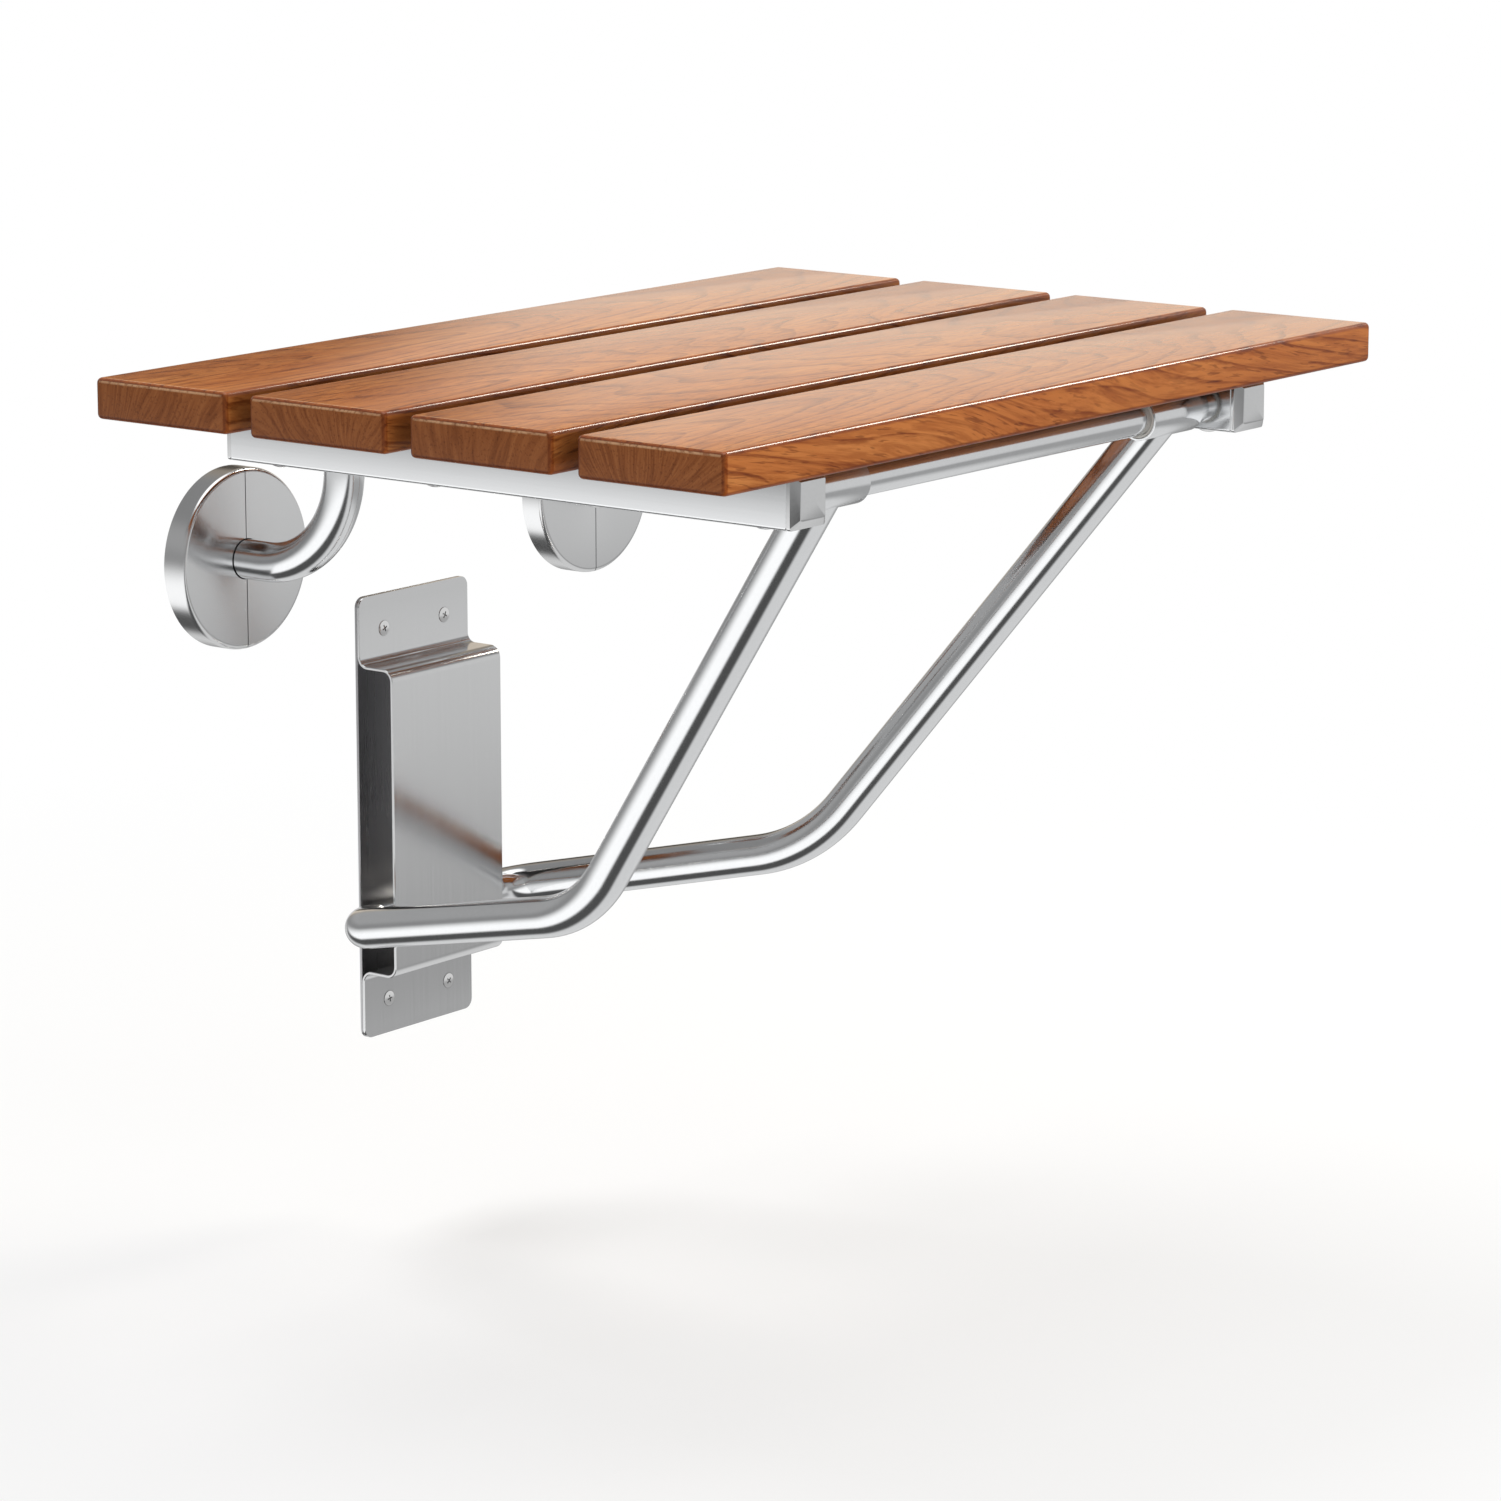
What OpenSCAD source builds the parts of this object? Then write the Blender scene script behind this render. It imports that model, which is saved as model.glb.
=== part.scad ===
// Fold down wall seat: four teak slats on a polished stainless steel frame.
// The seat hinges on two wall arms. Two bent legs run from its front tube down to
// a crossbar that rides up and down inside a sheet metal guide on the wall.
// Frame: the wall is the plane y = 0 and the room is at -y, +x is right seen from
// the front, +z is up, and the origin is the middle of the guide's four screws.

/* [Slats] */
// Number of slats from the wall to the front edge
slat_count = 4; // [3:1:5]
// Length of a slat, the width of the seat
slat_length = 508; // [460:1:600]
// Width of one slat
slat_width = 79.7; // [70:0.1:95]
// Gap between two slats
slat_gap = 13.55; // [6:0.05:16]
// Thickness of a slat
slat_thickness = 19; // [16:0.5:25]
// Rounding of all the slat edges
slat_edge_r = 2.5; // [1:0.25:4]

/* [Seat frame] */
// Outer size of the square rail tube
rail_size = 25.4; // [24:0.1:32]
// Wall of the rail tube
rail_wall = 1.5; // [1:0.1:2]
// Outer corner radius of the rail tube
rail_corner_r = 1.6; // [0.8:0.1:2.5]
// How far the slats stand out past each rail
slat_overhang = 67.5; // [55:0.5:75]
// How far each rail tube stops short of the slats' outer edges
rail_setback = 19.7; // [10:0.1:25]
// Width of the flat face at the end of a rail cap
cap_nose_width = 17; // [12:0.5:20]
// Length of the straight lip of a rail cap, past the end of the tube
cap_lip_length = 2; // [1:0.25:4]
// Length of the bevelled nose of a rail cap
cap_nose_length = 3.2; // [1.5:0.1:5]
// Length of the plug that a rail cap pushes into the tube
cap_plug_length = 12; // [8:1:20]
// Outer diameter of the two cross tubes
cross_d = 16; // [14:0.5:17]
// Wall of the cross tubes
cross_wall = 1.5; // [1:0.1:2.5]
// Depth of the cross tube centres below the slats
cross_drop = 14.6; // [13.5:0.1:16]

/* [Pivot sleeves] */
// Outer diameter of a sleeve
sleeve_d = 21; // [20.6:0.1:22]
// Wall of a sleeve
sleeve_wall = 1.4; // [1:0.1:1.8]
// Length of a sleeve
sleeve_length = 41; // [30:1:46]
// Bare cross tube between a rail and the sleeve of an arm
arm_sleeve_gap = 9.6; // [5:0.1:20]
// Bare cross tube between a rail and the sleeve of a leg
leg_sleeve_gap = 8.1; // [5:0.1:20]
// Running clearance of a cross tube in its nylon bush, on the radius
pivot_clearance = 0.05; // [0.02:0.01:0.1]

/* [Wall arms] */
// Outer diameter of an arm
arm_d = 19; // [17:0.5:20]
// Wall of an arm tube
arm_wall = 1.5; // [1:0.1:2.5]
// Centre line radius of the bend in an arm
arm_bend_r = 49; // [40:1:52]
// Distance of the rear pivot from the wall
pivot_standoff = 75; // [72:0.5:90]
// Height of the rear pivot above the middle of the flanges
flange_drop = 69; // [60:0.5:80]

/* [Wall flanges] */
// Diameter of a flange cover
cover_d = 87.4; // [80:0.1:95]
// Depth of a flange cover from the wall
cover_depth = 12.5; // [10:0.5:16]
// Sheet thickness of a flange cover
cover_sheet = 1.2; // [0.8:0.1:1.6]
// Rounding of the front edge of a flange cover
cover_edge_r = 2.4; // [2:0.1:4]
// Open seam between the two halves of a cover
cover_seam = 0.3; // [0.2:0.05:0.6]
// Thickness of the base plate under a cover
base_thickness = 3; // [2.5:0.5:4]
// Diameter of the circle of the base plate screws
base_screw_circle = 58; // [50:1:64]
// Number of screws in a base plate
base_screw_count = 3; // [3:1:4]

/* [Legs] */
// Outer diameter of the leg tubes and the crossbar
leg_d = 20; // [18:0.5:20]
// Wall of the leg tubes and the crossbar
leg_wall = 1.5; // [1:0.1:2.5]
// Sideways length of a foot, from the end of the crossbar to the leg's last corner
foot_length = 18.5; // [16:0.5:24]
// How far each knee stands out sideways past the corner of its foot
knee_offset = 27.3; // [20:0.1:35]
// Distance of the knees from the wall
knee_standoff = 182.9; // [170:0.1:200]
// Height of the knees above the crossbar
knee_height = 38.1; // [30:0.1:50]
// Centre line radius of the knee bend
knee_bend_r = 80; // [50:1:100]
// Depth of the crossbar below the front pivot, with the seat down
bar_drop = 263.6; // [255:0.1:275]

/* [Wall guide] */
// Width of the guide
guide_width = 82; // [74:0.5:86]
// Height of the flat foot of the guide, above and below its channel
guide_foot_height = 33.5; // [28:0.5:45]
// Sheet thickness of both guide plates
guide_sheet = 1.5; // [1:0.1:2]
// Corner radius of both guide plates
guide_corner_r = 5; // [2:0.5:8]
// Radius of the bends of the channel, on the outside
channel_bend_r = 6; // [4:0.5:8]
// Clearance of the crossbar in the channel, front and back
channel_clearance = 0.5; // [0.3:0.1:1]
// Free height under the crossbar with the seat down
bar_bottom_gap = 15.8; // [8:0.1:25]
// Free height over the crossbar with the seat folded up
bar_top_gap = 0.6; // [0.4:0.1:20]
// Distance between the guide's screws from side to side
guide_screw_width = 45.2; // [40:0.1:55]
// Height of the guide's screws above and below its channel
guide_screw_offset = 16.2; // [15:0.1:18]

/* [Fasteners] */
// Shank diameter of the wall screws
wall_screw_d = 5; // [4:0.1:5.4]
// Head diameter of the countersunk guide screws
guide_head_d = 7.4; // [7:0.1:8.4]
// How far the wall screws reach behind the wall plane
wall_screw_reach = 9; // [6:0.5:60]
// Head diameter of the slat screws
slat_head_d = 10.5; // [8:0.1:12]
// Shank diameter of the slat screws
slat_screw_d = 4.8; // [4:0.1:6]
// How far the slat screws reach into a slat
slat_screw_bite = 13; // [8:0.5:14]

/* [Hidden] */
$fn = 72;

// Facets on the rounded edges of the slats, which are hulls
edge_facets = 24;

// Sides of the object, seen from the front
left = -1;
right = 1;

teak = "#b06a3b";
polished = "#d3d5d8";
satin = "#b9bcc0";
nylon = "#e6e3da";

// Every cut runs this far past the faces that it opens
overrun = 1;

// Small fits: loose parts seat with fit_gap, and screws have screw_gap round the shank
fit_gap = 0.1;
screw_gap = 0.15;
bush_fit_gap = 0.03;
cover_fit_gap = 0.2;
guide_side_gap = 0.5;
arm_hole_gap = 0.3;

// A straight run after a bend starts bend_overlap_length inside it and is slimmer by
// bend_lip_depth, so that the two merge as solids and never just touch
bend_overlap_length = 1;
bend_lip_depth = 0.1;

// Heights, depths and diameters of the screw heads and threads
pan_rim_height = 1.2;
pan_dome_height = 1.6;
guide_dome_height = 0.6;
base_head_d = 9.5;
thread_depth = 0.2;

// Distances from the wall
slat_pitch = slat_width + slat_gap;
rear_y = -pivot_standoff;
front_y = rear_y - (slat_count - 1) * slat_pitch;
rail_length = (slat_count - 1) * slat_pitch + slat_width - 2 * rail_setback;
rail_front_y = front_y - slat_width / 2 + rail_setback;
rail_rear_y = rail_front_y + rail_length;
rail_x = slat_length / 2 - slat_overhang - rail_size / 2;
rail_inner_x = rail_x - rail_size / 2;
arm_x = rail_inner_x - arm_sleeve_gap - sleeve_length / 2;
leg_top_x = rail_inner_x - leg_sleeve_gap - sleeve_length / 2;

// Pivot sleeve and the nylon bush inside it
cross_r = cross_d / 2;
bush_bore_r = cross_r + pivot_clearance;
sleeve_r = sleeve_d / 2;
sleeve_bore_r = sleeve_r - sleeve_wall;
bush_r = sleeve_bore_r - bush_fit_gap;

// Guide channel, and the crossbar in the middle of its depth
leg_r = leg_d / 2;
channel_inner_depth = leg_d + 2 * channel_clearance;
channel_depth = channel_inner_depth + 2 * guide_sheet;
guide_face_y = -2 * guide_sheet;
bar_y = -guide_sheet - channel_inner_depth / 2;
bar_half = guide_width / 2 + guide_side_gap;
foot_x = bar_half + foot_length;
knee_x = foot_x + knee_offset;

// How far the crossbar rises when the front pivot swings up over the rear one
seat_reach = rear_y - front_y;
leg_reach = norm([bar_y - front_y, bar_drop]);
bar_travel = bar_drop + seat_reach - sqrt(pow(leg_reach, 2) - pow(bar_y - rear_y, 2));

// Guide heights follow from that travel
channel_height = 2 * guide_sheet + bar_bottom_gap + leg_d + bar_travel + bar_top_gap;
guide_height = channel_height + 2 * guide_foot_height;
guide_screw_height = channel_height + 2 * guide_screw_offset;

// Heights, up from the crossbar
bar_z = guide_sheet + bar_bottom_gap + leg_r - channel_height / 2;
pivot_z = bar_z + bar_drop;
slat_bottom_z = pivot_z + cross_drop;
rail_bottom_z = slat_bottom_z - rail_size;

// Arms and flanges
arm_r = arm_d / 2;
flange_z = pivot_z - flange_drop;
cover_r = cover_d / 2;
base_r = cover_r - cover_sheet - cover_fit_gap;

// Screws
wall_screw_r = wall_screw_d / 2;
wall_neck_r = wall_screw_r - thread_depth;
guide_head_r = guide_head_d / 2;
slat_screw_r = slat_screw_d / 2;

// Vectors along the path of a bent tube
function unit(v) = v / norm(v);
function turn_at(a, b, c) = acos(unit(b - a) * unit(c - b));
function across(v) = unit(cross(v, abs(unit(v)[0]) > 0.9 ? [0, 1, 0] : [1, 0, 0]));
function placed(x, y, z, at) = [
    [x[0], y[0], z[0], at[0]],
    [x[1], y[1], z[1], at[1]],
    [x[2], y[2], z[2], at[2]],
    [0, 0, 0, 1]
];

// Corner points of one leg's centre line, from the front pivot to the crossbar
function leg_path(side) = [
    [side * leg_top_x, front_y, pivot_z],
    [side * knee_x, -knee_standoff, bar_z + knee_height],
    [side * foot_x, bar_y, bar_z],
    [side * bar_half, bar_y, bar_z]
];

// The last bend of a leg ends just where the crossbar starts
foot_turn = turn_at(leg_path(right)[1], leg_path(right)[2], leg_path(right)[3]);
foot_bend_r = foot_length / tan(foot_turn / 2);

// Corner points of one arm's centre line, from its base plate up to the rear pivot
function arm_path(side) = [
    [side * arm_x, -base_thickness, flange_z],
    [side * arm_x, rear_y, flange_z],
    [side * arm_x, rear_y, pivot_z]
];

// Straight round bar from a to b
module rod(a, b, r) {
    ahead = unit(b - a);
    aside = across(ahead);
    multmatrix(placed(aside, cross(ahead, aside), ahead, a))
        cylinder(r = r, h = norm(b - a));
}

// Round elbow at corner b, tangent to the lines a-b and b-c, with the straight run
// of radius run_r that leads to it
module elbow(a, b, c, bend_r, r, run, run_r) {
    back = unit(a - b);
    onward = unit(c - b);
    turn = turn_at(a, b, c);
    start = b + back * bend_r * tan(turn / 2);
    centre = b + unit(back + onward) * bend_r / cos(turn / 2);
    outward = unit(start - centre);
    multmatrix(placed(outward, -back, cross(outward, -back), centre)) {
        rotate_extrude(angle = turn)
            translate([bend_r, 0])
                circle(r);
        translate([bend_r, 0, 0])
            rotate([90, 0, 0])
                cylinder(r = run_r, h = run);
    }
}

// Round bar that follows the corner points with one bend radius for each inner corner
module bent_rod(path, bends, r) {
    last = len(path) - 1;
    trims = [
        for (k = [0 : last])
            k == 0 || k == last
                ? 0
                : bends[k - 1] * tan(turn_at(path[k - 1], path[k], path[k + 1]) / 2)
    ];
    starts = [for (k = [0 : last]) k == 0 ? 0 : trims[k] - bend_overlap_length];
    for (k = [1 : last - 1]) {
        run = norm(path[k] - path[k - 1]) - starts[k - 1] - trims[k];
        run_r = k == 1 ? r : r - bend_lip_depth;
        elbow(path[k - 1], path[k], path[k + 1], bends[k - 1], r, run, run_r);
    }
    if (norm(path[last] - path[last - 1]) > trims[last - 1] + fit_gap)
        rod(
            path[last - 1] + unit(path[last] - path[last - 1]) * starts[last - 1],
            path[last],
            r - bend_lip_depth
        );
}

// Hollow bent tube, open at both ends, with its child cut away from it
module bent_tube(path, bends, r, wall) {
    difference() {
        bent_rod(path, bends, r);
        bent_rod(path, bends, r - wall);
        children();
    }
}

// Cylinder along x, centred on x
module x_cylinder(r, length) {
    rotate([0, 90, 0])
        cylinder(r = r, h = length, center = true);
}

// Hollow tube along x, centred on x
module x_tube(r, bore_r, length) {
    difference() {
        x_cylinder(r, length);
        x_cylinder(bore_r, length + 2 * overrun);
    }
}

// Turns a shape drawn along +z so that it stands on the wall and points into the room
module off_wall(at) {
    translate(at)
        rotate([90, 0, 0])
            children();
}

// Rectangle with round corners, centred
module rounded_rect(w, h, r) {
    square([w - 2 * r, h], center = true);
    square([w, h - 2 * r], center = true);
    for (x = [-1, 1], y = [-1, 1])
        translate([x * (w / 2 - r), y * (h / 2 - r)])
            circle(r);
}

// Low dome of radius r and height h, standing on z = 0
module dome(r, h) {
    ball_r = (r * r + h * h) / (2 * h);
    intersection() {
        translate([0, 0, h - ball_r])
            sphere(ball_r);
        cylinder(r = r, h = h);
    }
}

// Upright round puck with rounded rims, the corner of a slat
module slat_corner() {
    steps = edge_facets / 4;
    rim = [
        for (k = [0 : steps])
            let (turn = 90 * k / steps)
            [slat_edge_r * sin(turn), slat_edge_r * (1 - cos(turn))]
    ];
    rotate_extrude($fn = edge_facets)
        polygon(concat(
            rim,
            [for (k = [steps : -1 : 0]) [rim[k][0], slat_thickness - rim[k][1]]]
        ));
}

// One slat with all its edges rounded and a pilot hole over each rail
module slat(index) {
    y = rear_y - index * slat_pitch;
    corner_x = slat_length / 2 - slat_edge_r;
    corner_y = slat_width / 2 - slat_edge_r;
    color(teak)
        difference() {
            translate([0, y, slat_bottom_z])
                hull()
                    for (sx = [-1, 1], sy = [-1, 1])
                        translate([sx * corner_x, sy * corner_y, 0])
                            slat_corner();
            for (side = [left, right])
                translate([side * rail_x, y, slat_bottom_z - overrun])
                    cylinder(r = slat_screw_r + bush_fit_gap, h = slat_screw_bite + fit_gap + overrun);
        }
}

// Square rail with a clearance hole through both walls under every slat
module rail(side) {
    color(polished)
        translate([side * rail_x, 0, slat_bottom_z - rail_size / 2])
            difference() {
                translate([0, rail_rear_y, 0])
                    rotate([90, 0, 0])
                        linear_extrude(rail_length)
                            difference() {
                                rounded_rect(rail_size, rail_size, rail_corner_r);
                                square(rail_size - 2 * rail_wall, center = true);
                            }
                for (index = [0 : slat_count - 1])
                    translate([0, rear_y - index * slat_pitch, -rail_size / 2 - overrun])
                        cylinder(r = slat_screw_r + screw_gap, h = rail_size + 2 * overrun);
            }
}

// Bevelled end cap: plug inside the tube, lip flush with the tube, tapering nose
module rail_cap(side, end_y, outward) {
    plug_size = rail_size - 2 * rail_wall - 2 * fit_gap;
    color(satin)
        translate([side * rail_x, end_y, slat_bottom_z - rail_size / 2])
            rotate([outward * 90, 0, 0]) {
                translate([0, 0, -cap_plug_length])
                    linear_extrude(cap_plug_length)
                        square(plug_size, center = true);
                linear_extrude(cap_lip_length)
                    rounded_rect(rail_size, rail_size, rail_corner_r);
                translate([0, 0, cap_lip_length])
                    linear_extrude(cap_nose_length, scale = cap_nose_width / rail_size)
                        rounded_rect(rail_size, rail_size, rail_corner_r);
            }
}

// Tube welded between the two rails, the axle of a pair of sleeves
module cross_tube(y) {
    color(polished)
        translate([0, y, pivot_z])
            x_tube(cross_r, cross_r - cross_wall, 2 * rail_inner_x);
}

// Pan head that stands on z = 0
module pan_head(r) {
    cylinder(r = r, h = pan_rim_height);
    translate([0, 0, pan_rim_height])
        dome(r, pan_dome_height);
}

// Wall screw without its head: thread behind the wall plane, plain neck in front of it
module wall_shank(neck_length) {
    translate([0, 0, -wall_screw_reach])
        cylinder(r = wall_screw_r, h = wall_screw_reach);
    cylinder(r = wall_neck_r, h = neck_length);
}

// Pan head screws that come up through one rail into the slats
module slat_screws(side) {
    color(satin)
        for (index = [0 : slat_count - 1])
            translate([side * rail_x, rear_y - index * slat_pitch, rail_bottom_z]) {
                cylinder(r = slat_screw_r, h = rail_size + slat_screw_bite);
                mirror([0, 0, 1])
                    pan_head(slat_head_d / 2);
            }
}

// Steel sleeve round a cross tube
module pivot_sleeve(x, y) {
    color(polished)
        translate([x, y, pivot_z])
            x_tube(sleeve_r, sleeve_bore_r, sleeve_length);
}

// Nylon bush between a sleeve and the cross tube that turns in it
module pivot_bush(x, y) {
    color(nylon)
        translate([x, y, pivot_z])
            x_tube(bush_r, bush_bore_r, sleeve_length);
}

// Leg tube, coped round its sleeve at the top and cut square at the crossbar
module leg_tube(side) {
    color(polished)
        bent_tube(leg_path(side), [knee_bend_r, foot_bend_r], leg_r, leg_wall)
            translate([side * leg_top_x, front_y, pivot_z])
                x_cylinder(sleeve_r, 2 * sleeve_length);
}

// Straight length of the leg loop that runs behind the front plate of the guide
module crossbar() {
    color(polished)
        translate([0, bar_y, bar_z])
            x_tube(leg_r, leg_r - leg_wall, 2 * bar_half);
}

// Wall arm: out of the base plate, then up to the rear pivot
module arm(side) {
    color(polished)
        bent_tube(arm_path(side), [arm_bend_r], arm_r, arm_wall)
            translate([side * arm_x, rear_y, pivot_z])
                x_cylinder(sleeve_r, 2 * sleeve_length);
}

// Moves its children to each screw of one flange, pointing into the room
module at_base_screws(side) {
    off_wall([side * arm_x, 0, flange_z])
        for (k = [0 : base_screw_count - 1])
            rotate([0, 0, 90 + k * 360 / base_screw_count])
                translate([base_screw_circle / 2, 0, 0])
                    children();
}

// Round plate that the arm is welded to
module flange_base(side) {
    color(satin)
        difference() {
            off_wall([side * arm_x, 0, flange_z])
                cylinder(r = base_r, h = base_thickness);
            at_base_screws(side)
                translate([0, 0, -overrun])
                    cylinder(r = wall_screw_r + screw_gap, h = base_thickness + 2 * overrun);
        }
}

// Pan head wall screws of one flange, under its cover
module flange_screws(side) {
    color(satin)
        at_base_screws(side) {
            wall_shank(base_thickness);
            translate([0, 0, base_thickness])
                pan_head(base_head_d / 2);
        }
}

// Half section of a round cup with a rounded rim, standing on y = 0
module cup_section(r, h, edge_r) {
    square([r - edge_r, h]);
    square([r, h - edge_r]);
    translate([r - edge_r, h - edge_r])
        circle(edge_r);
}

// One half of a two-piece flange cover, open in the middle for the arm
module cover_half(side, half) {
    color(polished)
        off_wall([side * arm_x + half * cover_seam / 2, 0, flange_z])
            rotate([0, 0, -half * 90])
                rotate_extrude(angle = 180)
                    difference() {
                        cup_section(cover_r, cover_depth, cover_edge_r);
                        translate([0, -overrun])
                            cup_section(
                                cover_r - cover_sheet,
                                cover_depth - cover_sheet + overrun,
                                cover_edge_r - cover_sheet
                            );
                        translate([0, -overrun])
                            square([arm_r + arm_hole_gap, cover_depth + 2 * overrun]);
                    }
}

// Moves its children to each screw of the guide, pointing into the room
module at_guide_screws() {
    for (x = [-1, 1], z = [-1, 1])
        off_wall([x * guide_screw_width / 2, 0, z * guide_screw_height / 2])
            children();
}

// Outline that both guide plates share, as deep as asked
module guide_outline(depth) {
    off_wall([0, 0, 0])
        linear_extrude(depth)
            rounded_rect(guide_width, guide_height, guide_corner_r);
}

// Flat plate against the wall
module guide_back_plate() {
    color(satin)
        difference() {
            guide_outline(guide_sheet);
            at_guide_screws()
                translate([0, 0, -overrun])
                    cylinder(r = wall_screw_r + screw_gap, h = guide_sheet + 2 * overrun);
        }
}

// Side section of a raised channel over y = 0: depth out from it, round at all four bends
module channel_section(height, depth, foot_r, top_r) {
    difference() {
        union() {
            square([2 * depth - 2 * top_r, height], center = true);
            square([2 * depth, height - 2 * top_r], center = true);
            for (z = [-1, 1])
                translate([depth - top_r, z * (height / 2 - top_r)])
                    circle(top_r);
            translate([foot_r / 2, 0])
                square([foot_r, height + 2 * foot_r], center = true);
        }
        translate([-depth, 0])
            square([2 * depth, height + 4 * foot_r], center = true);
        for (z = [-1, 1])
            translate([foot_r, z * (height / 2 + foot_r)])
                circle(foot_r);
    }
}

// Front plate of the guide: flat feet and a raised channel, one bent sheet
module guide_front_plate() {
    rise = channel_depth - 2 * guide_sheet;
    color(polished)
        difference() {
            intersection() {
                guide_outline(channel_depth);
                rotate([90, 0, -90])
                    linear_extrude(guide_width, center = true)
                        difference() {
                            union() {
                                translate([-guide_face_y, 0])
                                    channel_section(
                                        channel_height,
                                        rise,
                                        channel_bend_r - guide_sheet,
                                        channel_bend_r
                                    );
                                translate([guide_sheet, -guide_height / 2])
                                    square([guide_sheet, guide_height]);
                            }
                            translate([guide_sheet, 0])
                                channel_section(
                                    channel_height - 2 * guide_sheet,
                                    rise,
                                    channel_bend_r,
                                    channel_bend_r - guide_sheet
                                );
                        }
            }
            at_guide_screws()
                translate([0, 0, -guide_face_y])
                    mirror([0, 0, 1]) {
                        countersink_r = guide_head_r + screw_gap;
                        cylinder(r1 = countersink_r, r2 = 0, h = countersink_r);
                        cylinder(r = wall_screw_r + screw_gap, h = guide_sheet + overrun);
                    }
        }
}

// Raised countersunk screws that hold both guide plates to the wall
module guide_screws() {
    taper = guide_head_r - wall_neck_r;
    color(satin)
        at_guide_screws() {
            wall_shank(-guide_face_y - taper);
            translate([0, 0, -guide_face_y - taper])
                cylinder(r1 = wall_neck_r, r2 = guide_head_r, h = taper);
            translate([0, 0, -guide_face_y])
                dome(guide_head_r, guide_dome_height);
        }
}

slat(0);  // slat_1
slat(1);  // slat_2
slat(2);  // slat_3
slat(3);  // slat_4
rail(left);  // left_rail
rail(right);  // right_rail
rail_cap(left, rail_rear_y, -1);  // left_rear_cap
rail_cap(left, rail_front_y, 1);  // left_front_cap
rail_cap(right, rail_rear_y, -1);  // right_rear_cap
rail_cap(right, rail_front_y, 1);  // right_front_cap
cross_tube(rear_y);  // rear_cross_tube
cross_tube(front_y);  // front_cross_tube
slat_screws(left);  // left_slat_screws
slat_screws(right);  // right_slat_screws
leg_tube(left);  // left_leg_tube
leg_tube(right);  // right_leg_tube
pivot_sleeve(left * leg_top_x, front_y);  // left_leg_sleeve
pivot_sleeve(right * leg_top_x, front_y);  // right_leg_sleeve
pivot_bush(left * leg_top_x, front_y);  // left_leg_bush
pivot_bush(right * leg_top_x, front_y);  // right_leg_bush
crossbar();
arm(left);  // left_arm
arm(right);  // right_arm
pivot_sleeve(left * arm_x, rear_y);  // left_arm_sleeve
pivot_sleeve(right * arm_x, rear_y);  // right_arm_sleeve
pivot_bush(left * arm_x, rear_y);  // left_arm_bush
pivot_bush(right * arm_x, rear_y);  // right_arm_bush
flange_base(left);  // left_flange_base
flange_base(right);  // right_flange_base
flange_screws(left);  // left_flange_screws
flange_screws(right);  // right_flange_screws
cover_half(left, left);  // left_cover_outer_half
cover_half(left, right);  // left_cover_inner_half
cover_half(right, right);  // right_cover_outer_half
cover_half(right, left);  // right_cover_inner_half
guide_back_plate();
guide_front_plate();
guide_screws();
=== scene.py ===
"""Looks of the fold down wall seat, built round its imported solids.

Lengths are written in millimetres and turned into metres by the mesh helpers.
Frame: the wall is y = 0 with the room at -y, +x is right, +z is up.
"""
import math

import bmesh
import bpy
from mathutils import Matrix, Vector


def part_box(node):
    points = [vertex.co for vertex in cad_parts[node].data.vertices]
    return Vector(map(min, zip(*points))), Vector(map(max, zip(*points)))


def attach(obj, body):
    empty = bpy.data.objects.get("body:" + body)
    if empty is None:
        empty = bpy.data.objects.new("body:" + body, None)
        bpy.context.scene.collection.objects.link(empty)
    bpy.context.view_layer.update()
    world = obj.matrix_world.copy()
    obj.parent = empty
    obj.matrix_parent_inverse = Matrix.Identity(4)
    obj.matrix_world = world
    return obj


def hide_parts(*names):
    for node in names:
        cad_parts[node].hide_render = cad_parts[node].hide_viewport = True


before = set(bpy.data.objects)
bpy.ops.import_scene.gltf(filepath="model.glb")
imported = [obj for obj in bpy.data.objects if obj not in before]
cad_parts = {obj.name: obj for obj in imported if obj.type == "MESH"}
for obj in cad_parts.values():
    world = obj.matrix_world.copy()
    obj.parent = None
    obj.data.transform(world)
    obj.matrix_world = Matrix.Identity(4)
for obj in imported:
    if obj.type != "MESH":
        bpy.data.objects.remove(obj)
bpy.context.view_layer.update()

MM = 0.001
LEFT = -1
RIGHT = 1

# Sizes that the solids don't give by their boxes
SLAT_EDGE_R = 2.5
RAIL_WALL = 1.5
RAIL_CORNER_R = 1.6
CAP_LIP = 2.0
CAP_NOSE = 3.2
CAP_NOSE_WIDTH = 17.0
CAP_PLUG_LENGTH = 12.0
CAP_PLUG_PLAY = 0.2
CROSS_WALL = 1.5
SLEEVE_WALL = 1.4
ARM_R = 9.5
ARM_WALL = 1.5
ARM_BEND_R = 49.0
BASE_THICKNESS = 3.0
COVER_SHEET = 1.2
COVER_EDGE_R = 2.4
COVER_HOLE_GAP = 0.3
COVER_SEAM = 0.5
FLANGE_DROP = 69.0
LEG_R = 10.0
LEG_WALL = 1.5
KNEE_BEND_R = 80.0
KNEE_OFFSET = 27.3
KNEE_STANDOFF = 182.9
KNEE_HEIGHT = 38.1
FOOT_LENGTH = 18.5
GUIDE_SHEET = 1.5
GUIDE_FACE = 2 * GUIDE_SHEET
GUIDE_CORNER_R = 5.0
GUIDE_FOOT_HEIGHT = 33.5
CHANNEL_BEND_R = 6.0
SLAT_HEAD_R = 5.25
GUIDE_HEAD_R = 3.7
BASE_HEAD_R = 4.75
PAN_RIM = 1.2
WALL_SCREW_R = 2.5
WALL_SCREW_REACH = 9.0
SLAT_SCREW_R = 2.4
NECK_STEP = 0.2
THREAD_PITCH = 1.8
THREAD_DEPTH = 0.45
# Cross recess of a screw, as shares of the radius of its head
RECESS_DEPTH = 0.42
RECESS_SPAN = 0.5
RECESS_WIDTH = 0.11

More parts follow.
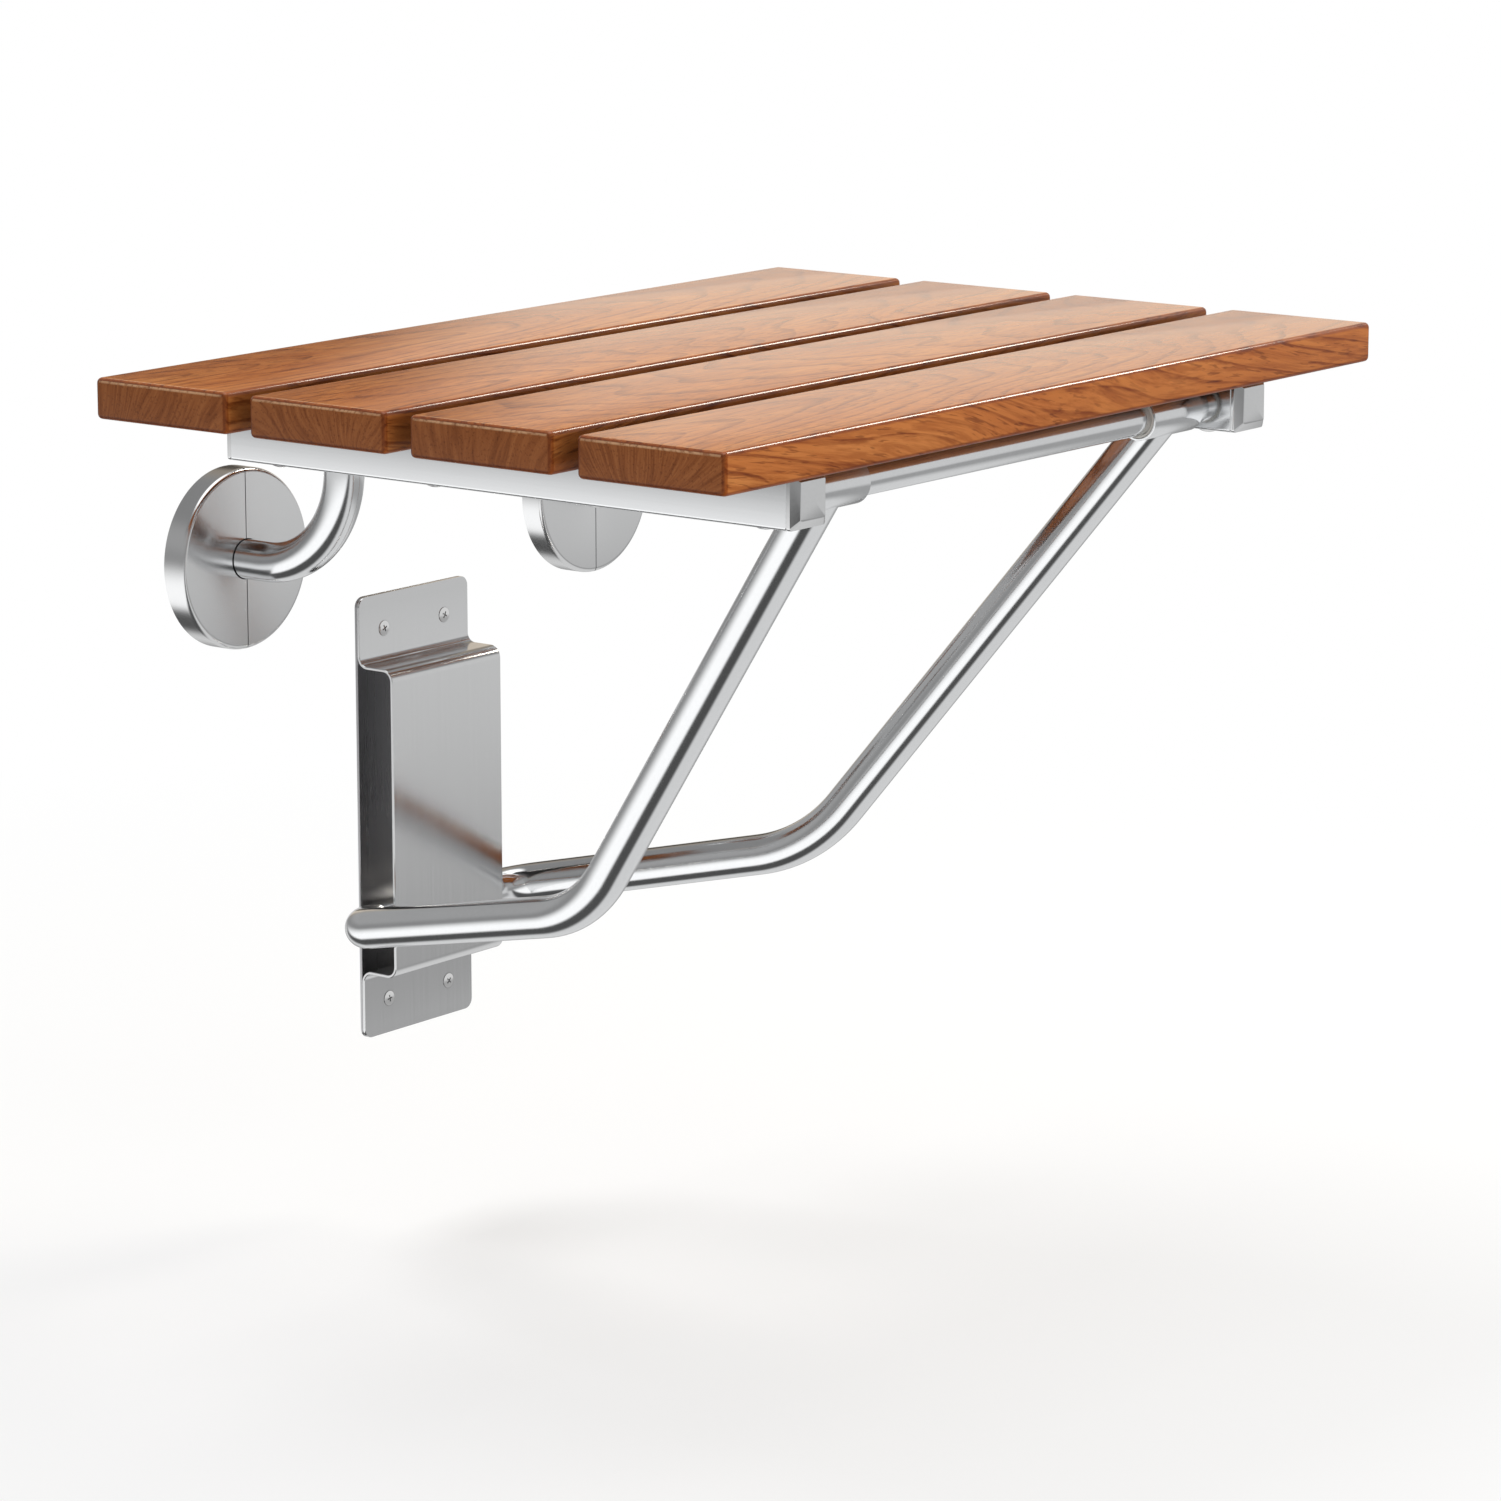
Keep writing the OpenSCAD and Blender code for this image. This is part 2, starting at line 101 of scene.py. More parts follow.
# Fine edge work of the pieces
EDGE_BREAK = 0.35
SLEEVE_BREAK = 0.45
SHEET_BREAK = 0.3
COVER_BREAK = 0.25
ROUND_STEPS = 96
SLAT_EDGE_STEPS = 6
COVER_EDGE_STEPS = 12
COVER_TURN_STEPS = 72
CHANNEL_BEND_STEPS = 14
FOOT_BEND_STEPS = 10
CORNER_STEPS = 10
SCREW_STEPS = 40
DOME_STEPS = 8
THREAD_ROW = 0.3
BEND_STEP_DEGREES = 2.5
SMOOTH_ANGLE = math.radians(32)
# Faces of the channel that look this much toward the wall are left unpolished
BACK_FACING = 0.3


def box_mm(node):
    """Lowest and highest corner of a CAD node, in millimetres."""
    low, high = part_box(node)
    return Vector(low) / MM, Vector(high) / MM


def size_mm(node):
    """Width, depth and height of a CAD node, in millimetres."""
    low, high = box_mm(node)
    return high - low


def middle_mm(node):
    """Middle of the box of a CAD node, in millimetres."""
    low, high = box_mm(node)
    return (low + high) / 2


def add_piece(name, verts, faces, body, material, node, slot):
    """Makes a mesh piece from points in millimetres, in place of a CAD node."""
    mesh = bpy.data.meshes.new(name)
    mesh.from_pydata([Vector(v) * MM for v in verts], [], faces)
    mesh.validate()
    fix = bmesh.new()
    fix.from_mesh(mesh)
    bmesh.ops.remove_doubles(fix, verts=fix.verts, dist=1e-7)
    bmesh.ops.recalc_face_normals(fix, faces=fix.faces)
    fix.to_mesh(mesh)
    fix.free()
    mesh.shade_smooth()
    mesh.set_sharp_from_angle(angle=SMOOTH_ANGLE)
    piece = bpy.data.objects.new(name, mesh)
    bpy.context.scene.collection.objects.link(piece)
    mesh.materials.append(material)
    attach(piece, body)
    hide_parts(node)
    return piece


def skin(rings, closed_along=False, cap_ends=False):
    """Points and faces of a surface through rings that all have the same number of points."""
    count = len(rings[0])
    verts = [point for ring in rings for point in ring]
    faces = []
    spans = len(rings) if closed_along else len(rings) - 1
    for i in range(spans):
        here = i * count
        there = ((i + 1) % len(rings)) * count
        for k in range(count):
            nxt = (k + 1) % count
            faces.append((here + k, here + nxt, there + nxt, there + k))
    if cap_ends:
        faces.append(tuple(range(count)))
        faces.append(tuple((len(rings) - 1) * count + k for k in range(count)))
    return verts, faces


def circle_ring(centre, across, up, radius, steps=ROUND_STEPS):
    """Ring of points of that radius in the plane of two unit vectors."""
    ring = []
    for k in range(steps):
        turn = 2 * math.pi * k / steps
        ring.append(centre + across * (radius * math.cos(turn)) + up * (radius * math.sin(turn)))
    return ring


def round_rect_ring(width, height, corner_r, corner_steps=6):
    """Outline of a rectangle with round corners, as pairs of numbers."""
    ring = []
    for quarter, (sx, sy) in enumerate([(1, 1), (-1, 1), (-1, -1), (1, -1)]):
        for k in range(corner_steps + 1):
            turn = math.pi / 2 * (quarter + k / corner_steps)
            ring.append((
                sx * (width / 2 - corner_r) + corner_r * math.cos(turn),
                sy * (height / 2 - corner_r) + corner_r * math.sin(turn),
            ))
    return ring


def arc_points(centre, radius, start, end, steps):
    """Pairs on an arc from one angle to another, in degrees."""
    pairs = []
    for k in range(steps + 1):
        turn = math.radians(start + (end - start) * k / steps)
        pairs.append((centre[0] + radius * math.cos(turn), centre[1] + radius * math.sin(turn)))
    return pairs


def bent_path(corners, bends):
    """Points along straight runs and round bends, with the direction at each."""
    points = []
    last = len(corners) - 1
    for i, corner in enumerate(corners):
        if i == 0:
            points.append((corner, (corners[1] - corner).normalized()))
        elif i == last:
            points.append((corner, (corner - corners[i - 1]).normalized()))
        else:
            before = (corner - corners[i - 1]).normalized()
            after = (corners[i + 1] - corner).normalized()
            turn = before.angle(after)
            bend_r = bends[i - 1]
            trim = bend_r * math.tan(turn / 2)
            axis = before.cross(after).normalized()
            start = corner - before * trim
            centre = start + axis.cross(before) * bend_r
            steps = max(2, math.ceil(math.degrees(turn) / BEND_STEP_DEGREES))
            for k in range(steps + 1):
                spin = Matrix.Rotation(turn * k / steps, 3, axis)
                points.append((centre + spin @ (start - centre), spin @ before))
    return points


def path_rings(path, radius):
    """Rings of one radius along a path, turned as little as possible from one to the next."""
    across = None
    rings = []
    for point, ahead in path:
        if across is None:
            across = ahead.orthogonal().normalized()
        across = (across - ahead * across.dot(ahead)).normalized()
        rings.append(circle_ring(point, across, ahead.cross(across), radius))
    return rings


def cope(ring, ahead, axle, axle_r):
    """Moves a ring against its direction until each point lies on a cylinder along x."""
    fitted = []
    for point in ring:
        dy = point.y - axle.y
        dz = point.z - axle.z
        a = ahead.y ** 2 + ahead.z ** 2
        b = 2 * (dy * ahead.y + dz * ahead.z)
        c = dy ** 2 + dz ** 2 - axle_r ** 2
        root = (-b + math.sqrt(max(b * b - 4 * a * c, 0.0))) / (2 * a)
        fitted.append(point + ahead * root)
    return fitted


def bent_tube(path, radius, wall, axle, axle_r):
    """Hollow tube along a path. Its first end is coped round an axle of that radius."""
    outer = path_rings(path, radius)
    inner = path_rings(path, radius - wall)
    for rings in (outer, inner):
        rings[0] = cope(rings[0], path[0][1], axle, axle_r)
    return skin(outer + inner[::-1], closed_along=True)


def lathe_x(profile, centre):
    """Closed profile of (along x, radius) pairs, turned round an axis along x."""
    rings = []
    for along, radius in profile:
        at = centre + Vector((along, 0, 0))
        rings.append(circle_ring(at, Vector((0, 1, 0)), Vector((0, 0, 1)), radius))
    return skin(rings, closed_along=True)


def tube_profile(length, outer_r, inner_r, edge):
    """Closed profile of a tube whose ends have small broken edges."""
    half = length / 2
    one_end = [
        (half - edge, outer_r),
        (half - edge * 0.3, outer_r - edge * 0.3),
        (half, outer_r - edge),
        (half, inner_r + edge),
        (half - edge, inner_r),
    ]
    return one_end + [(-along, radius) for along, radius in one_end[::-1]]


# Nodes of a material

def new_material(name):
    """Material with its node tree and its shader node."""
    material = bpy.data.materials.new(name)
    material.use_nodes = True
    tree = material.node_tree
    principled = tree.nodes["Principled BSDF"]
    return material, tree, principled


def set_inputs(tree, node, inputs):
    """Sets inputs of a node to numbers and vectors, or wires them to sockets of other nodes."""
    for key, value in inputs.items():
        if isinstance(value, bpy.types.NodeSocket):
            tree.links.new(value, node.inputs[key])
        else:
            node.inputs[key].default_value = value


def add_node(tree, kind, settings=None, inputs=None):
    """Adds a node with its settings and inputs."""
    node = tree.nodes.new(kind)
    for key, value in (settings or {}).items():
        setattr(node, key, value)
    set_inputs(tree, node, inputs or {})
    return node


def math_node(tree, operation, a, b=0.0):
    """Output of one math operation."""
    node = add_node(tree, "ShaderNodeMath", {"operation": operation}, {0: a, 1: b})
    return node.outputs[0]


def product(tree, first, *others):
    """Product of two or more values."""
    for other in others:
        first = math_node(tree, "MULTIPLY", first, other)
    return first


def vector_node(tree, operation, a, b):
    """Node of one vector operation."""
    return add_node(tree, "ShaderNodeVectorMath", {"operation": operation}, {0: a, 1: b})


def coordinates(tree, kind):
    """Place or direction vector of that kind."""
    return add_node(tree, "ShaderNodeTexCoord").outputs[kind]


def split(tree, vector):
    """Parts x, y and z of a vector."""
    return add_node(tree, "ShaderNodeSeparateXYZ", {}, {0: vector}).outputs


def object_coordinates(tree, stretch=(1, 1, 1), offset=(0, 0, 0), source=None):
    """Object coordinates in metres, or another place vector, scaled and then moved."""
    if source is None:
        source = coordinates(tree, "Object")
    mapping = add_node(tree, "ShaderNodeMapping", {}, {
        "Vector": source,
        "Scale": stretch,
        "Location": offset,
    })
    return mapping.outputs["Vector"]


def noise(tree, vector, scale, detail, roughness=0.5):
    """Noise value between 0 and 1."""
    node = add_node(tree, "ShaderNodeTexNoise", {}, {
        "Vector": vector,
        "Scale": scale,
        "Detail": detail,
        "Roughness": roughness,
    })
    return node.outputs["Fac"]


def ramp(tree, value, stops):
    """Colour ramp through (position, colour) stops."""
    node = add_node(tree, "ShaderNodeValToRGB", {}, {"Fac": value})
    elements = node.color_ramp.elements
    elements[0].position, elements[0].color = stops[0][0], (*stops[0][1], 1)
    elements[1].position, elements[1].color = stops[-1][0], (*stops[-1][1], 1)
    for position, colour in stops[1:-1]:
        element = elements.new(position)
        element.color = (*colour, 1)
    return node.outputs["Color"]


def two_tone(tree, value, dim, pale):
    """Colour that follows a noise value from dim to pale."""
    return ramp(tree, value, [(NOISE_MIDDLE[0], dim), (NOISE_MIDDLE[1], pale)])


def mix_colour(tree, blend, factor, a, b):
    """Mix of two colours."""
    settings = {"data_type": "RGBA", "blend_type": blend}
    return add_node(tree, "ShaderNodeMix", settings, {0: factor, 6: a, 7: b}).outputs[2]


def tinted(tree, strength, colour, tint):
    """Colour darkened by a tint as far as strength says."""
    return mix_colour(tree, "MULTIPLY", strength, colour, (*tint, 1))


def paint_shade(tree, colour, reach, levels):
    """Colour with painted shade in gaps and hollows narrower than reach. Levels are a range of openness and
    its shade.
    """
    shade = add_node(tree, "ShaderNodeAmbientOcclusion", {"samples": 8}, {"Distance": reach})
    return mix_colour(tree, "MULTIPLY", 1.0, colour, map_range(tree, shade.outputs["AO"], *levels))


def bump(tree, height, strength, distance):
    """Normal with a small relief."""
    inputs = {"Height": height, "Strength": strength, "Distance": distance}
    return add_node(tree, "ShaderNodeBump", {}, inputs).outputs[0]


def map_range(tree, value, low, high, to_low=0.0, to_high=1.0, kind="LINEAR"):
    """Value moved from one range to another, held inside it."""
    node = add_node(tree, "ShaderNodeMapRange", {"interpolation_type": kind}, {
        "Value": value,
        "From Min": low,
        "From Max": high,
        "To Min": to_low,
        "To Max": to_high,
    })
    return node.outputs[0]


def smooth_range(tree, value, low, high, to_low=0.0, to_high=1.0):
    """Value moved softly from one range to another."""
    return map_range(tree, value, low, high, to_low, to_high, "SMOOTHSTEP")


def blend_values(tree, factor, a, b):
    """Value between a and b."""
    return add_node(tree, "ShaderNodeMix", {"data_type": "FLOAT"}, {0: factor, 2: a, 3: b}).outputs[0]


def linear(r, g, b):
    """Linear colour from a screen colour of 0 to 255."""
    def channel(v):
        v = v / 255
        return v / 12.92 if v <= 0.04045 else ((v + 0.055) / 1.055) ** 2.4
    return (channel(r), channel(g), channel(b))


def teak(index, middle):
    """Oiled teak: growth rings round an axis below the board, fibres, flecks and end grain, with painted
    shade in the gaps and along the edges and painted highlights along the ends.
    """
    material, tree, principled = new_material(f"teak_{index}")
    source = coordinates(tree, "Object")
    side, rise = ring_axis_offsets(tree, source, index, middle)
    square = math_node(tree, "ADD", product(tree, side, side), product(tree, rise, rise))
    distance = math_node(tree, "SQRT", square)
    shift = (index * 5.1, index * 2.3, index * 1.7)
    along = split(tree, source)[0]
    grain = add_node(tree, "ShaderNodeCombineXYZ", {}, {0: along, 1: side, 2: rise}).outputs[0]

    def marks(rate, detail, roughness=0.5):
        """Marks that follow the grain."""
        return noise(tree, object_coordinates(tree, rate, shift, grain), 1.0, detail, roughness)

    streak = marks(STREAK_RATE, 4.0, 0.6)
    fibre = marks(FIBRE_RATE, 3.0, 0.6)
    pore = marks(PORE_RATE, 2.0)
    patch = marks(PATCH_RATE, 2.0)
    colour = ramp(tree, streak, [(0.25, TEAK_DEEP), (0.5, TEAK_MID), (0.78, TEAK_PALE)])
    colour = tinted(tree, map_range(tree, patch, 0.45, 0.7, 0.0, 0.6), colour, TEAK_RED_TINT)
    colour = tinted(tree, ring_strength(tree, distance, fibre), colour, TEAK_RING_TINT)
    colour = tinted(tree, map_range(tree, fibre, 0.57, 0.38, 0.0, 0.95), colour, TEAK_FIBRE_TINT)
    fleck = product(
        tree,
        map_range(tree, pore, 0.57, 0.66, 0.0, 0.7),
        map_range(tree, patch, 0.38, 0.60, 0.4, 0.9),
    )
    colour = tinted(tree, fleck, colour, TEAK_FLECK_TINT)
    facing = board_normal(tree)
    ends = end_grain(tree, side, rise, distance, shift)
    colour = mix_colour(tree, "MIX", end_mask(tree, facing), colour, ends)
    # Painted shade: a darker line along the rounded edges of the board
    colour = tinted(tree, edge_shade_mask(tree, facing), colour, TEAK_EDGE_SHADE_TINT)
    # Painted highlight: two pale lines along the rounded top of each end, broken up by the fibres
    edge_highlight = product(tree, edge_highlight_mask(tree, facing), map_range(tree, fibre, 0.62, 0.48, 0.2, 0.65))
    colour = mix_colour(tree, "MIX", edge_highlight, colour, (*TEAK_EDGE_HIGHLIGHT, 1))
    # Painted shade: the sides of the boards darken in the gaps between them
    colour = paint_shade(tree, colour, TEAK_GAP_SHADE_REACH, (0.45, 1.0, 0.18, 1.0))
    set_inputs(tree, principled, {
        "Base Color": colour,
        "Roughness": map_range(tree, fibre, *NOISE_MIDDLE, 0.34, 0.46),
        "Normal": bump(tree, math_node(tree, "SUBTRACT", fibre, fleck), 0.22, 0.00025),
        "Specular IOR Level": 0.1,
        "Coat Weight": map_range(tree, facing[2], 0.15, 0.6, 0.15, 0.95),
        "Coat Roughness": 0.10,
    })
    return material


def ring_strength(tree, distance, fibre):
    """How dark the late wood of a growth ring is, broken up by the fibres."""
    phase = math_node(tree, "FRACT", product(tree, distance, 1 / TEAK_RING_WIDTH))
    late_wood = product(tree, map_range(tree, phase, 0.66, 0.93), map_range(tree, phase, 1.0, 0.96))
    dashed = map_range(tree, fibre, 0.66, 0.42, 0.25, 1.0)
    return product(tree, late_wood, dashed, 0.95)


def ring_axis_offsets(tree, source, index, middle):
    """Sideways and upward distance of a point from the tilted axis of the growth rings."""
    wander = add_node(tree, "ShaderNodeTexNoise", {}, {
        "Vector": object_coordinates(tree, WANDER_RATE, (index * 3.7, index * 1.3, 0)),
        "Scale": 1.0,
        "Detail": 2.0,
    })
    centred = vector_node(tree, "SUBTRACT", wander.outputs["Color"], (0.5, 0.5, 0.5))
    warp = add_node(tree, "ShaderNodeVectorMath", {"operation": "SCALE"}, {
        0: centred.outputs[0],
        "Scale": WANDER_SIZE,
    })
    place = vector_node(tree, "ADD", source, warp.outputs[0])
    along, y, z = split(tree, place.outputs[0])
    tilt_y, tilt_z, off_y, off_z = TEAK_AXES[(index - 1) % len(TEAK_AXES)]
    side = math_node(tree, "SUBTRACT", y, middle.y * MM + off_y)
    side = math_node(tree, "ADD", side, product(tree, along, tilt_y))
    rise = math_node(tree, "SUBTRACT", z, middle.z * MM + off_z)
    rise = math_node(tree, "ADD", rise, product(tree, along, tilt_z))
    return side, rise


def board_normal(tree):
    """Parts x, y and z of the normal of a board, in its own frame so that it may turn."""
    return split(tree, coordinates(tree, "Normal"))


def end_mask(tree, facing):
    """1 on the two end faces of a board and 0 on its long faces."""
    return map_range(tree, math_node(tree, "ABSOLUTE", facing[0]), 0.55, 0.85)


def edge_shade_mask(tree, facing):
    """1 on the rounded edges of a board, darkened there by a painted shade line, and 0 on its flat faces."""
    sizes = [math_node(tree, "ABSOLUTE", part) for part in facing]
    widest = math_node(tree, "MAXIMUM", math_node(tree, "MAXIMUM", sizes[0], sizes[1]), sizes[2])
    return map_range(tree, widest, 0.995, 0.94)


def edge_highlight_mask(tree, facing):
    """1 on the two painted highlight lines along the top of each end, at both sides of its rounding."""
    up = facing[2]
    low = product(tree, map_range(tree, up, 0.08, 0.25), map_range(tree, up, 0.58, 0.42))
    high = product(tree, map_range(tree, up, 0.93, 0.965), map_range(tree, up, 0.998, 0.985))
    along = map_range(tree, math_node(tree, "ABSOLUTE", facing[1]), 0.12, 0.04)
    return product(tree, math_node(tree, "MAXIMUM", low, high), along)


def end_grain(tree, side, rise, distance, shift):
    """Colour of a sawn end: lines that fan out from the heart, and specks of open pores."""
    fan = math_node(tree, "ARCTAN2", side, math_node(tree, "ADD", rise, HEART_DROP))
    lines = add_node(tree, "ShaderNodeCombineXYZ", {}, {
        0: product(tree, fan, END_LINES_AROUND),
        1: product(tree, distance, END_LINES_OUTWARD),
        2: shift[0],
    })
    ray = noise(tree, lines.outputs[0], 1.0, 3.0, 0.6)
    speck = noise(tree, object_coordinates(tree, SPECK_RATE, shift), 1.0, 1.0)
    colour = ramp(tree, ray, [(0.34, END_DEEP), (0.5, END_MID), (0.68, END_PALE)])
    return tinted(tree, map_range(tree, speck, 0.58, 0.72, 0.0, 0.45), colour, TEAK_FLECK_TINT)


def polished_steel(name, colour, low, high, grain, shade_reach=0.0):
    """Polished steel with faint polishing lines. grain stretches them along one axis.

    Corners and slots narrower than the reach given get painted shade.
    """
    material, tree, principled = new_material(name)
    lines = noise(tree, object_coordinates(tree, grain), 1.0, 3.0, 0.6)
    cloud = noise(tree, object_coordinates(tree), CLOUD_RATE, 2.0)
    mixed = blend_values(tree, LINE_SHARE, cloud, lines)
    tint = two_tone(tree, mixed, tuple(0.95 * part for part in colour), colour)
    if shade_reach:
        # Painted shade in corners, slots and recesses
        tint = paint_shade(tree, tint, shade_reach, (0.35, 0.95, 0.12, 1.0))
    set_inputs(tree, principled, {
        "Base Color": tint,
        "Metallic": 1.0,
        "Roughness": map_range(tree, mixed, *NOISE_MIDDLE, low, high),
        "Normal": bump(tree, lines, 0.02, 0.00001),
    })
    return material


def spun_steel(name, centre, colour):
    """Polished disc with fine turning marks round the y axis through a centre."""
    material, tree, principled = new_material(name)
    source = coordinates(tree, "Object")
    arm = vector_node(tree, "SUBTRACT", source, tuple(centre * MM)).outputs[0]
    flat = vector_node(tree, "MULTIPLY", arm, (1.0, 0.0, 1.0)).outputs[0]
    distance = add_node(tree, "ShaderNodeVectorMath", {"operation": "LENGTH"}, {0: flat})
    around = vector_node(tree, "CROSS_PRODUCT", (0.0, 1.0, 0.0), flat).outputs[0]
    tangent = add_node(tree, "ShaderNodeVectorMath", {"operation": "NORMALIZE"}, {0: around})
    marks = add_node(tree, "ShaderNodeTexNoise", {"noise_dimensions": "1D"}, {
        "W": distance.outputs["Value"],
        "Scale": TURNING_RATE,
        "Detail": 3.0,
    })
    turned = marks.outputs["Fac"]
    set_inputs(tree, principled, {
        "Base Color": two_tone(tree, turned, tuple(0.98 * part for part in colour), colour),
        "Metallic": 1.0,
        "Roughness": map_range(tree, turned, *NOISE_MIDDLE, 0.15, 0.19),
        "Tangent": tangent.outputs[0],
        "Anisotropic": 0.6,
    })
    return material


def nylon_white():
    """Off white nylon with a slight mottle."""
    material, tree, principled = new_material("nylon_white")
    cloud = noise(tree, object_coordinates(tree), NYLON_RATE, 3.0)
    set_inputs(tree, principled, {"Base Color": two_tone(tree, cloud, NYLON_DIM, NYLON), "Roughness": 0.5})
    return material


# The part of its range that a noise value seldom leaves
NOISE_MIDDLE = (0.3, 0.7)
# Marks in a metre, along the board and across it
STREAK_RATE = (6, 55, 55)
FIBRE_RATE = (28, 440, 440)
PORE_RATE = (70, 720, 720)
PATCH_RATE = (9, 26, 26)
WANDER_RATE = (3, 13, 13)
SPECK_RATE = (900, 900, 900)
# How far the growth rings wander from round ones, in metres
WANDER_SIZE = 0.05
TEAK_RING_WIDTH = 0.0060
# Lines of the end grain: number to the radian and to the metre, and the drop of their centre
END_LINES_AROUND = 34.0
END_LINES_OUTWARD = 45.0
HEART_DROP = 0.012
# Tilt of the ring axis along y and z, and its place from the middle of the board
TEAK_AXES = [
    (0.030, 0.150, 0.018, -0.060),
    (-0.036, 0.130, -0.012, -0.071),
    (0.028, -0.150, 0.010, -0.066),
    (-0.022, 0.170, 0.020, -0.058),
]
# Reach of the painted shade that darkens the sides of the boards in the gaps between them
TEAK_GAP_SHADE_REACH = 0.030
TEAK_PALE = linear(227, 149, 80)
TEAK_MID = linear(212, 129, 64)
TEAK_DEEP = linear(192, 110, 52)
TEAK_RED_TINT = (0.86, 0.76, 0.72)
TEAK_RING_TINT = (0.52, 0.38, 0.29)
TEAK_FIBRE_TINT = (0.74, 0.64, 0.55)
TEAK_FLECK_TINT = (0.36, 0.26, 0.20)
# Tint of the painted shade along the rounded edges
TEAK_EDGE_SHADE_TINT = (0.60, 0.46, 0.34)
# Colour of the painted highlight lines along the ends
TEAK_EDGE_HIGHLIGHT = linear(246, 198, 152)
END_PALE = linear(172, 106, 60)
END_MID = linear(158, 93, 50)
END_DEEP = linear(136, 76, 38)
STEEL = (0.80, 0.81, 0.82)
SHEET_STEEL = (0.76, 0.765, 0.77)
CAP_STEEL = (0.70, 0.705, 0.71)
PLAIN_STEEL = (0.62, 0.63, 0.64)
MILL_STEEL = (0.50, 0.50, 0.51)
SCREW_STEEL = (0.90, 0.90, 0.90)
NYLON = (0.80, 0.79, 0.75)
NYLON_DIM = (0.70, 0.69, 0.64)
NYLON_RATE = 260.0
# Share of the polishing lines in the marks of steel, and the rate of the cloudy rest
LINE_SHARE = 0.6
CLOUD_RATE = 22.0
# Turning marks in a metre of radius
TURNING_RATE = 2600.0

tube_steel = polished_steel("tube_steel", STEEL, 0.12, 0.16, (500, 500, 500))
rail_steel = polished_steel("rail_steel", STEEL, 0.14, 0.20, (900, 12, 900))
cap_steel = polished_steel("cap_steel", CAP_STEEL, 0.08, 0.12, (500, 500, 500))
# The last number given to plate_steel and screw_steel is the reach of their painted shade
plate_steel = polished_steel("plate_steel", SHEET_STEEL, 0.14, 0.20, (900, 900, 10), 0.0015)
plain_steel = polished_steel("plain_steel", PLAIN_STEEL, 0.28, 0.40, (900, 900, 12))
mill_steel = polished_steel("mill_steel", MILL_STEEL, 0.24, 0.34, (900, 900, 10))
screw_steel = polished_steel("screw_steel", SCREW_STEEL, 0.10, 0.16, (900, 900, 900), 0.0006)
bush_nylon = nylon_white()


# Slats

def slat_mesh(low, high):
    """Board with all its edges rounded."""
    board = bmesh.new()
    bmesh.ops.create_cube(board, size=1)
    size = high - low
    centre = (high + low) / 2
    for vert in board.verts:
        vert.co = Vector((vert.co.x * size.x, vert.co.y * size.y, vert.co.z * size.z)) + centre
    bmesh.ops.bevel(
        board, geom=list(board.edges) + list(board.verts), offset=SLAT_EDGE_R,
        segments=SLAT_EDGE_STEPS, profile=0.5, affect="EDGES",
    )
    board.verts.index_update()
    verts = [v.co.copy() for v in board.verts]
    faces = [tuple(v.index for v in f.verts) for f in board.faces]
    board.free()
    return verts, faces


def add_slats():
    """The four boards."""
    for number in range(1, 5):
        node = f"slat_{number}"
        low, high = box_mm(node)
        verts, faces = slat_mesh(low, high)
        add_piece(f"{node}_board", verts, faces, "seat", teak(number, (low + high) / 2), node, "teak")


# Rails and their caps

def rect_ring_xz(outline, centre, y):
    """Ring in a plane of constant y from pairs round a centre."""
    return [Vector((centre.x + px, y, centre.z + pz)) for px, pz in outline]


def add_rail(side_name):
    """Square tube with slightly broken edges at its ends."""
    node = f"{side_name}_rail"
    low, high = box_mm(node)
    centre = middle_mm(node)
    size = high.x - low.x
    outer = round_rect_ring(size, size, RAIL_CORNER_R)
    eased = round_rect_ring(size - 2 * EDGE_BREAK, size - 2 * EDGE_BREAK, RAIL_CORNER_R - EDGE_BREAK)
    bore = size - 2 * RAIL_WALL
    inner = round_rect_ring(bore, bore, 0.2)
    rings = [
        rect_ring_xz(inner, centre, low.y),
        rect_ring_xz(eased, centre, low.y),
        rect_ring_xz(outer, centre, low.y + EDGE_BREAK),
        rect_ring_xz(outer, centre, high.y - EDGE_BREAK),
        rect_ring_xz(eased, centre, high.y),
        rect_ring_xz(inner, centre, high.y),
    ]
    verts, faces = skin(rings, closed_along=True)
    add_piece(f"{side_name}_rail_tube", verts, faces, "seat", rail_steel, node, "polished_tube")


